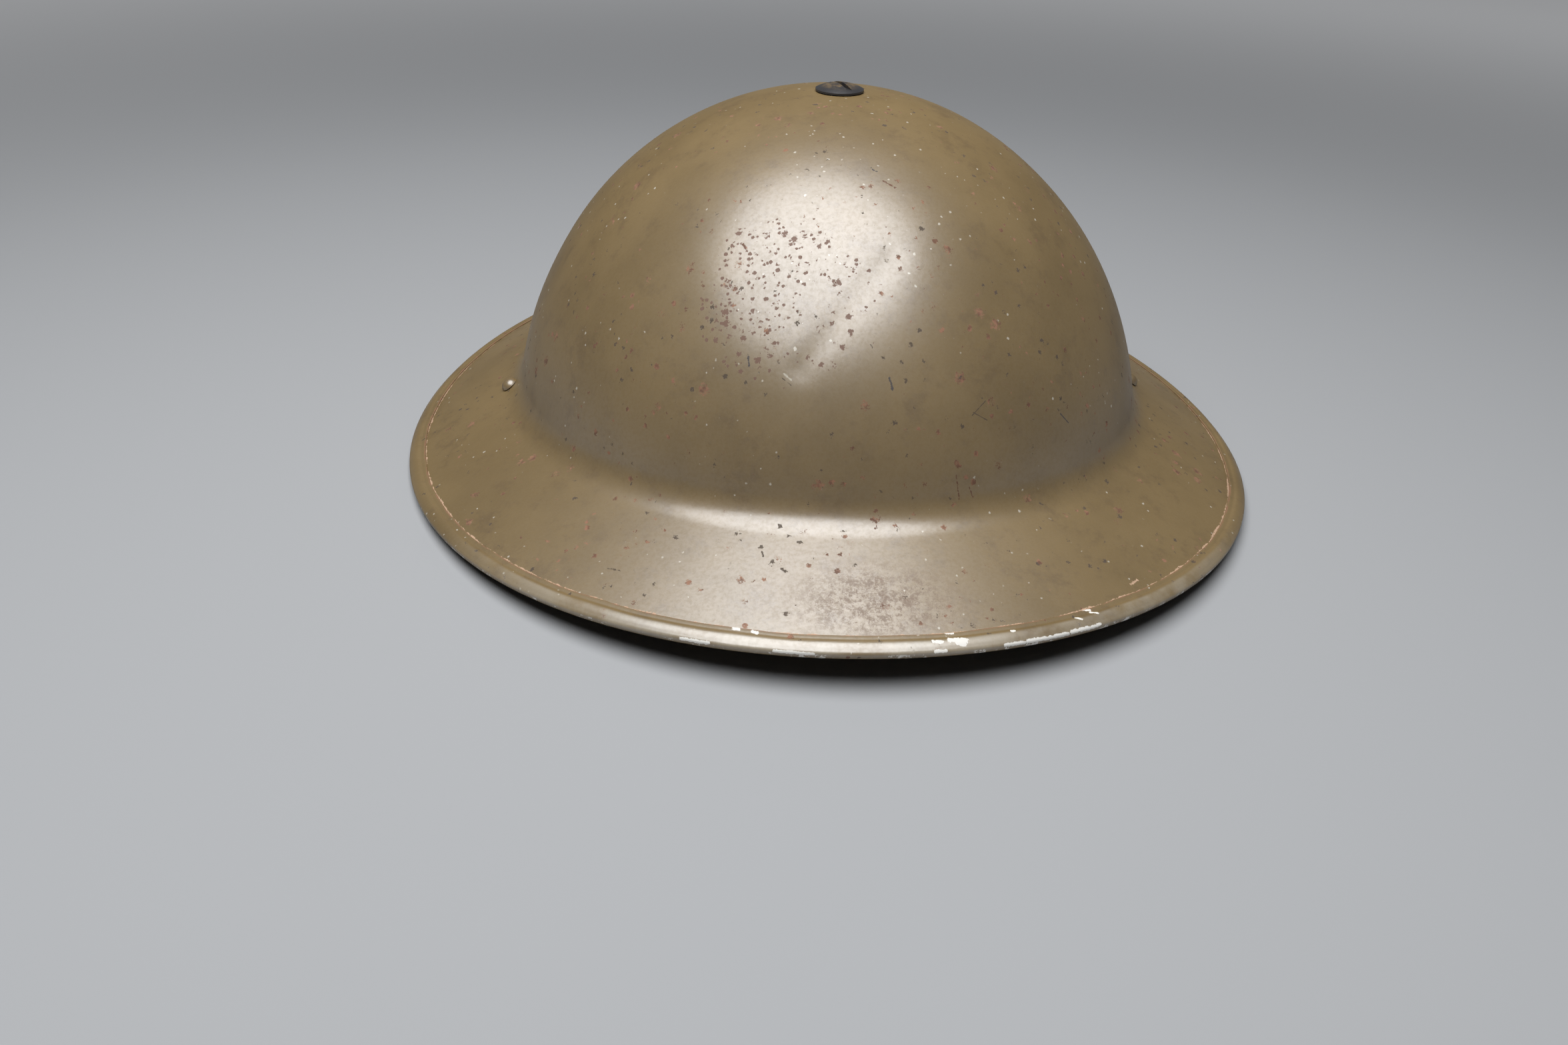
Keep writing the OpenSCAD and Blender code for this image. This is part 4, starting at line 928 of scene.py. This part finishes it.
# %% Headband
BAND_W, BAND_L = BOWL_W - 34 * MM, BOWL_L - 30 * MM
BAND_Z, BAND_TOP = 18 * MM, 46 * MM
PAD_T, PAD_EDGE_T, PAD_BACK = 8 * MM, 2.5 * MM, 2.7 * MM
HEM_OUT, HEM_LOW, PAD_HIGH = 0.1 * MM, BAND_Z - 1.9 * MM, BAND_TOP + 3 * MM
CHANNELS, PER_CHANNEL = 24, 14
PAD_SLACK, PAD_CAP, SEAM_DEPTH = 1.6 * MM, 1.5 * MM, 1.6 * MM
HEM_ROWS, FACE_ROWS = 4, 19


def on_band(turn, out, height):
    """A point at a distance out from the fibre band's outside, an oval, along its normal."""
    way = unit(np.stack([np.cos(turn) / BAND_W, np.sin(turn) / BAND_L], -1))
    return joined(BAND_W / 2 * np.cos(turn) + out * way[..., 0],
                  BOWL_SHIFT + BAND_L / 2 * np.sin(turn) + out * way[..., 1], height)


def headband_profile():
    """(outwards, upwards) round the section from the hem over the crowned face to the top, and
    down the back. The last column is 1 on the crowned face, where the cover is free."""
    swell = np.radians(np.linspace(-84, 84, FACE_ROWS))
    middle, half = (HEM_LOW + PAD_HIGH) / 2, (PAD_HIGH - HEM_LOW) / 2 - 0.2 * MM
    face = np.stack([-PAD_BACK - PAD_EDGE_T - (PAD_T - PAD_EDGE_T - PAD_SLACK) * np.cos(swell),
                     middle + half * np.sin(swell), np.ones(FACE_ROWS)], -1)
    hem = [[HEM_OUT - 0.1 * MM, BAND_Z - 0.4 * MM, 0], [HEM_OUT, BAND_Z - 1.1 * MM, 0],
           [HEM_OUT - 0.5 * MM, HEM_LOW + 0.15 * MM, 0], [-PAD_BACK, HEM_LOW + 0.1 * MM, 0]]
    back_z = np.linspace(PAD_HIGH - 1.3 * MM, BAND_Z - 0.4 * MM, 9)
    back = np.stack([-PAD_BACK + 0 * back_z, back_z, 0 * back_z], -1)
    top = [[-PAD_BACK - 1.2 * MM, PAD_HIGH - 0.35 * MM, 0]]
    return np.concatenate([hem, face, top, back])


def headband_mesh():
    """The profile round the band. At each seam the crowned face is drawn back towards the felt.
    Gives the filled mesh and the lines of its seams."""
    profile = headband_profile()
    turn = np.linspace(0, 2 * np.pi, CHANNELS * PER_CHANNEL, endpoint=False)
    in_channel = np.arange(turn.size) % PER_CHANNEL
    near_seam = np.exp(-(np.minimum(in_channel, PER_CHANNEL - in_channel) / 0.8) ** 2)
    free = profile[:, 2] * np.clip(1.25 * np.sin(np.pi * np.linspace(0, 1, len(profile))), 0, 1)
    out = profile[None, :, 0] + SEAM_DEPTH * near_seam[:, None] * free[None, :]
    grid = on_band(turn[:, None], out, profile[None, :, 1])
    sewn = np.maximum(1 - profile[None, :, 2], (in_channel == 0)[:, None])
    mesh = surface_mesh("headband_cover", grid, True, True)
    fill_cover(mesh, (sewn + 0 * out).ravel(), 2.0, 0.05, PAD_CAP)
    face = slice(HEM_ROWS + 2, HEM_ROWS + FACE_ROWS - 2)
    return mesh, on_band(turn[::PER_CHANNEL, None], out[::PER_CHANNEL, face] - 0.25 * MM,
                         profile[None, face, 1])


cover, seam_lines = headband_mesh()
place_padded(cover, ["headband"])
place_stitches("headband_stitches", seam_lines, 3.2 * MM, 0.62, 0.55 * MM, HELMET)

# %% [markdown]
# The crown pad is a small cross-shaped cushion under the crossing of the straps. It has four
# lobes, a pocket on top that clears the nut, and a sewn edge. Seams from the middle to the
# hollows between the lobes quilt it.

# %% Crown pad
STRAP_T, STRAP_FLAT, SEAT_GAP = 1.2 * MM, 14 * MM, 0.3 * MM
SIDE_TOP, LONG_TOP = 115.0 * MM, 113.75 * MM
CUSHION_W, CUSHION_T, POCKET_R = 108 * MM, 12 * MM, 9 * MM
LOBE_DEPTH, EDGE_DROP, POCKET_SHARE = 0.2, 0.35, 0.75
CUSHION_TURNS, QUILT_W, QUILT_DEPTH = 176, 0.018, 2.2 * MM
CUSHION_SLACK, CUSHION_CAP = 2.2 * MM, 2.0 * MM
POCKET_RINGS, TOP_RINGS, LOW_RINGS, EDGE_SHARE = 5, 15, 26, 0.985


def strap_drop(half, top):
    """How far a crossed strap has come down where the cushion ends."""
    rise = top - STRAP_T - BOWL_FOOT
    reach = (half - STRAP_FLAT) / math.cos(math.asin((BAND_TOP - BOWL_FOOT) / rise))
    return rise * (1 - math.sqrt(1 - ((CUSHION_W / 2 - STRAP_FLAT) / reach) ** 2))


def cushion_point(turn, share, under):
    """Four lobes: the reach falls off with the square of the sine of twice the turn. The top
    follows the straps as a parabola, and the underside hangs below it by a flat-topped dome."""
    reach = CUSHION_W / 2 * (1 - LOBE_DEPTH * np.sin(2 * turn) ** 2) - 0.4 * MM
    r = share * reach if under else POCKET_R + share * (reach - POCKET_R)
    drop = (strap_drop(BAND_W / 2, SIDE_TOP) * np.cos(turn) ** 2
            + strap_drop(BAND_L / 2, LONG_TOP) * np.sin(turn) ** 2)
    ceiling = LONG_TOP - STRAP_T - 2 * SEAT_GAP - drop * (r / (CUSHION_W / 2)) ** 2
    edge = CUSHION_T * EDGE_DROP * (r / reach) ** 6
    thick = (CUSHION_T - CUSHION_SLACK) * np.sqrt(np.clip(1 - (r / reach) ** 4, 0, 1)) if under else 0
    return joined(r * np.cos(turn), BOWL_SHIFT + r * np.sin(turn), ceiling - edge - thick)


def cushion_mesh():
    """Rings from the pocket's floor out over the top, round the edge and back to the middle.
    Gives the filled mesh and the lines of its quilting seams."""
    turn = np.linspace(0, 2 * np.pi, CUSHION_TURNS, endpoint=False)
    floor_z = LONG_TOP - STRAP_T - SEAT_GAP - CUSHION_T * POCKET_SHARE
    pocket = [joined(r * np.cos(turn), BOWL_SHIFT + r * np.sin(turn), floor_z)
              for r in np.linspace(0.4 * MM, POCKET_R, POCKET_RINGS)]
    top_share = np.linspace(0, EDGE_SHARE, TOP_RINGS)
    low_share = np.concatenate([[EDGE_SHARE], np.linspace(0.96, 0.012, LOW_RINGS)])
    above = POCKET_RINGS + TOP_RINGS
    rings = (pocket + [cushion_point(turn, share, False) for share in top_share]
             + [cushion_point(turn, share, True) for share in low_share])
    quilted = np.exp(-((turn / (np.pi / 2) % 1 - 0.5) / QUILT_W) ** 2)
    under = np.concatenate([np.zeros(above), np.sin(np.pi * low_share) ** 0.5])
    grid = np.stack(rings)
    grid[..., 2] += QUILT_DEPTH * under[:, None] * quilted
    edge_and_top = np.arange(len(rings))[:, None] < above + 2
    held = edge_and_top | (quilted > 0.9) & (under[:, None] > 0.25)
    mesh = surface_mesh("crown_cushion", grid, cols_closed=True, ends=True)
    fill_cover(mesh, held.ravel(), 2.5, 0.05, CUSHION_CAP)
    return mesh, [grid[above + 4:above + 24, number] - [0, 0, 0.3 * MM]
                  for number in np.flatnonzero(quilted > 0.99)]


cover, seam_lines = cushion_mesh()
place_padded(cover, ["crown_pad"])
place_stitches("cushion_stitches", seam_lines, 3.4 * MM, 0.6, 0.6 * MM, HELMET)

# %% [markdown]
# The chin strap is one length of cotton webbing. It starts as a short sewn-back end, goes
# round the bar of one ring, runs as half an oval to the other ring, goes round that bar and
# comes back through the slide to its metal tip. Its middle line is put together from those
# stretches, and a flat section with round edges and low ribs follows it. The UV map holds the
# length along the strap and the place across it, so the weave runs true through every turn.

# %% Webbing: path and section
RING_X, RING_L, STRAP_REACH = BOWL_W / 2 - 8.6 * MM, 19 * MM, BOWL_L / 2 - 10 * MM
PIN_Y, PIN_Z, STRAP_SLOPE = -0.577 * MM, 14 * MM, math.radians(1.5)
WEB_W, WEB_T, LAYER_GAP = 18 * MM, 1.7 * MM, 0.7 * MM
LOOP_R = 1.3 * MM + 0.15 * MM + WEB_T / 2
SEWN_TURN, TAPER_TURN, TAIL_TURN = 17.0, 8.0, 65.0
WEB_STEP, RIBS, RIB_DEPTH, WEB_SHRINK = 0.9 * MM, 9, 0.07 * MM, 0.12 * MM


def strap_middle(turn_deg, out):
    """Half an oval between the two bars, moved outwards along its normal. Turn in degrees."""
    turn = np.radians(turn_deg)
    way = unit(np.stack([RING_X * np.sin(turn), -(STRAP_REACH - RING_L) * np.cos(turn)], -1))
    return np.stack([-RING_X * np.cos(turn) + out * way[..., 1],
                     -RING_L - (STRAP_REACH - RING_L) * np.sin(turn) - out * way[..., 0]], -1)


def near_bar(turns_off):
    """1 at a bar, and down to 0 at the end of the taper, quick at first."""
    return np.clip(1 - turns_off / TAPER_TURN, 0, 1) ** 1.5


def mixed(low, high, share):
    return low + (high - low) * share


def webbing_line():
    """Sewn end, round the first bar, the long run, round the second bar, and the free tail."""
    sewn = np.linspace(180 - SEWN_TURN, 180, 40)
    run = np.linspace(180, 0, 400)
    tail = np.linspace(0, TAIL_TURN - 0.3, 150)
    round_bar = np.radians(np.linspace(0, 180, 16))[1:-1]
    loop = LOOP_R * np.stack([np.cos(round_bar), np.sin(round_bar)], -1)
    bars = strap_middle(np.array([180.0, 0.0]), 0.0)
    return np.concatenate([
        strap_middle(sewn, -mixed(WEB_T, LOOP_R, near_bar(180 - sewn))),
        bars[0] + loop * [-1, 1],
        strap_middle(run, mixed(0, LOOP_R, near_bar(np.minimum(run, 180 - run)))),
        bars[1] + loop * [-1, 1],
        strap_middle(tail, -mixed(WEB_T + LAYER_GAP, LOOP_R, near_bar(tail)))])


def even_steps(line, step):
    """The same line with its points an even step apart, and their distances along it."""
    far = lengths_along(line)
    keep = np.concatenate([[True], np.diff(far) > 1e-9])
    at = np.linspace(0, far[-1], int(far[-1] / step))
    return at_lengths(line[keep], far[keep], at), at


def in_helmet(x, y, z):
    """From the strap's own plane, which turns about the pins, to the helmet's axes."""
    return joined(x, PIN_Y + y * math.cos(STRAP_SLOPE) - z * math.sin(STRAP_SLOPE),
                  PIN_Z + y * math.sin(STRAP_SLOPE) + z * math.cos(STRAP_SLOPE))


def webbing_grid():
    """The section at each step: half thickness falls off at the selvedges as a high power of
    the place across, and a cosine makes the ribs."""
    line, at = even_steps(webbing_line(), WEB_STEP)
    way = unit(np.gradient(line, axis=0))
    normal = np.stack([way[:, 1], -way[:, 0]], -1)
    across = WEB_W / 2 * np.sin(np.linspace(-np.pi / 2, np.pi / 2, 55)) * 0.995
    share = across / (WEB_W / 2)
    half = (WEB_T / 2 - WEB_SHRINK) * np.sqrt(1 - np.abs(share) ** 14)
    groove = 0.5 - 0.5 * np.cos(np.pi * RIBS * (share + 1))
    half = half - RIB_DEPTH * groove * (np.abs(share) < 0.93)
    side = np.concatenate([half, -half[::-1][1:-1]])
    across = np.concatenate([across, across[::-1][1:-1]])
    flat = line[:, None] + side[None, :, None] * normal[:, None]
    grid = in_helmet(flat[..., 0], flat[..., 1], across)
    return grid, np.stack(np.broadcast_arrays(at[:, None], across), -1)


# %% [markdown]
# The weave is a herringbone: diagonals whose lean changes from one rib to the next. It is
# worked out from the two lengths of the UV map, so each thread has its real width. Its colour
# is painted shade: each thread is darker where its relief is low.

# %% Group and finish: herringbone weave
WEB_SHADED_KHAKI, WEB_LIT_KHAKI, WEB_SOILED = (0.155, 0.120, 0.062), (0.330, 0.270, 0.155), (0.085, 0.062, 0.035)


def make_weave():
    """Along and across in metres, the width of a thread and of a band in millimetres.
    The second output is painted shade: it follows each thread's height.
    """
    tree, given, out = new_group("herringbone", [("Along", 0), ("Across", 0), ("Thread", 0.8), ("Band", 2.0)],
                                 ["Height", "Painted_shade"])
    thread = math_node(tree, "MULTIPLY", given["Thread"], MM)
    band = math_node(tree, "MULTIPLY", given["Band"], MM)
    lean = math_node(tree, "PINGPONG", given["Across"], band)
    place_in = math_node(tree, "DIVIDE", math_node(tree, "ADD", given["Along"], lean), thread)
    tooth = math_node(tree, "MULTIPLY", math_node(tree, "PINGPONG", place_in, 0.5), 2.0)
    from_middle = math_node(tree, "MULTIPLY_ADD", math_node(tree, "DIVIDE", lean, band), 2.0, -1.0)
    valley = math_node(tree, "POWER", math_node(tree, "ABSOLUTE", from_middle), 6.0)
    height = math_node(tree, "MULTIPLY", math_node(tree, "SMOOTH_MIN", tooth, 0.75, 0.3),
                       math_node(tree, "SUBTRACT", 1.0, valley))
    fill_inputs(tree, out, [("Height", height), ("Painted_shade", tooth)])
    return tree


def webbing_finish():
    material, tree, shader, where = new_material("khaki_webbing")
    weave = use_group(tree, make_weave(), along=along_surface(tree, "X"), across=along_surface(tree, "Y"),
                      thread=0.9, band=2.0)
    # Painted shade: the khaki goes from a shaded to a lit tone along each thread's relief.
    colour = blend_color(tree, weave["Painted_shade"], WEB_SHADED_KHAKI, WEB_LIT_KHAKI)
    soil = masked(tree, drift(tree, where, size=18.0, rough=0.7, low=0.45, high=0.75), 0.6)
    colour = blend_color(tree, soil, colour, WEB_SOILED)
    fill_inputs(tree, shader, [("Base Color", colour), ("Roughness", 0.88)])
    height = math_node(tree, "MULTIPLY_ADD", grain(tree, where, 0.3, 0.8), 0.25, weave["Height"])
    bump(tree, shader, height, 0.8, 0.22 * MM)
    return material


grid, uv = webbing_grid()
place(surface_mesh("chin_webbing", grid, cols_closed=True, ends=True, uv=uv),
      STRAP, webbing_finish(), ["chin_strap"])

# %% [markdown]
# The sewn end is held by a box of stitches with a cross in it, through both layers, seen on
# each face.

# %% Stitches of the sewn end
BOX_FROM, BOX_TO, BOX_HALF, BOX_POINTS = 180 - SEWN_TURN + 1.5, 170.5, 6.5 * MM, 24
RUN_FACE, SEWN_FACE = 0.80 * MM, -2.50 * MM


def box_lines(out):
    """The sides and the two diagonals of the box, on a face at that distance from the run."""
    flat = strap_middle(np.linspace(BOX_FROM, BOX_TO, BOX_POINTS), out)
    share = np.linspace(-1, 1, BOX_POINTS)
    lines = [in_helmet(*flat.T, BOX_HALF * height) for height in (1, -1, share, -share)]
    return lines + [in_helmet(*corner, BOX_HALF * share) for corner in (flat[0], flat[-1])]


place_stitches("strap_stitches", box_lines(RUN_FACE) + box_lines(SEWN_FACE), 2.3 * MM, 0.7, 0.6 * MM, STRAP)

# %% [markdown]
# Floor and light. A wide pale floor runs up into a wall. One large soft lamp hangs in front
# of the helmet and above it, where its reflection makes the broad highlights on the bowl and
# the brim. A lamp so near leaves the far floor dark, so away from the helmet the floor also
# shows a glow. The camera sees all of it, reflections half, and it lights nothing.

# %% Floor
FLOOR_COLOUR, GLOW_COLOUR = (0.37, 0.38, 0.395, 1), (0.97, 0.98, 1.0, 1)
GLOW, GLOW_FROM, GLOW_TO = 0.24, 0.45, 1.30
FLOOR_R, WALL_BEND_R, WALL_H = 3.2, 0.7, 2.4


def floor_finish():
    """A flat pale colour, with a glow that grows with the distance from the helmet."""
    material, tree, shader, where = new_material("pale_floor")
    far = vector_node(tree, "LENGTH", where)["Value"]
    ray = add_node(tree, "LightPath")
    bounced = highest(tree, ray["Is Glossy Ray"], ray["Is Transmission Ray"])
    seen = highest(tree, ray["Is Camera Ray"], math_node(tree, "MULTIPLY", bounced, 0.5))
    glowing = masked(tree, ramp(tree, far, GLOW_FROM, GLOW_TO), seen)
    fill_inputs(tree, shader, [("Base Color", FLOOR_COLOUR), ("Roughness", 0.9),
                               ("Emission Color", GLOW_COLOUR),
                               ("Emission Strength", math_node(tree, "MULTIPLY", glowing, GLOW))])
    return material


bend = np.linspace(0.1, np.pi / 2, 12)
floor_r = np.concatenate([[0, FLOOR_R - WALL_BEND_R], FLOOR_R - WALL_BEND_R * (1 - np.sin(bend)), [FLOOR_R]])
floor_z = np.concatenate([[0, 0], WALL_BEND_R * (1 - np.cos(bend)), [WALL_H]])
floor_turn = np.linspace(0, 2 * np.pi, 96, endpoint=False)
floor_grid = joined(floor_r[:, None] * np.cos(floor_turn), floor_r[:, None] * np.sin(floor_turn),
                    floor_z[:, None])
floor = bpy.data.objects.new("floor", surface_mesh("floor", floor_grid, cols_closed=True))
floor.data.materials.append(floor_finish())
bpy.context.scene.collection.objects.link(floor)

# %% Lamp and sky
LAMP_TURN, LAMP_CLIMB, LAMP_FAR = math.radians(-31), math.radians(76), 0.78
LAMP_SIZE, LAMP_WATTS, LAMP_AIM = 0.92, 10.8, np.array([0, 0, 0.06])
SKY_COLOUR, SKY_STRENGTH = (0.95, 0.97, 1.0, 1), 0.05

lamp_data = bpy.data.lights.new("key_lamp", "AREA")
lamp_data.shape = "DISK"
lamp_data.size, lamp_data.energy = LAMP_SIZE, LAMP_WATTS
lamp = bpy.data.objects.new("key_lamp", lamp_data)
bpy.context.scene.collection.objects.link(lamp)
back = np.array([math.sin(LAMP_TURN) * math.cos(LAMP_CLIMB), -math.cos(LAMP_TURN) * math.cos(LAMP_CLIMB),
                 math.sin(LAMP_CLIMB)])
right = unit(np.cross([0, 0, 1], back))
lamp_place = Matrix(np.stack([right, np.cross(back, right), back], -1).tolist()).to_4x4()
lamp_place.translation = (LAMP_AIM + back * LAMP_FAR).tolist()
lamp.matrix_world = lamp_place
world = bpy.data.worlds.new("studio")
bpy.context.scene.world = world
world.use_nodes = True
fill_inputs(world.node_tree, world.node_tree.nodes["Background"],
            [("Color", SKY_COLOUR), ("Strength", SKY_STRENGTH)])
print("lamp at, mm:", [round(v / MM) for v in lamp_place.translation])
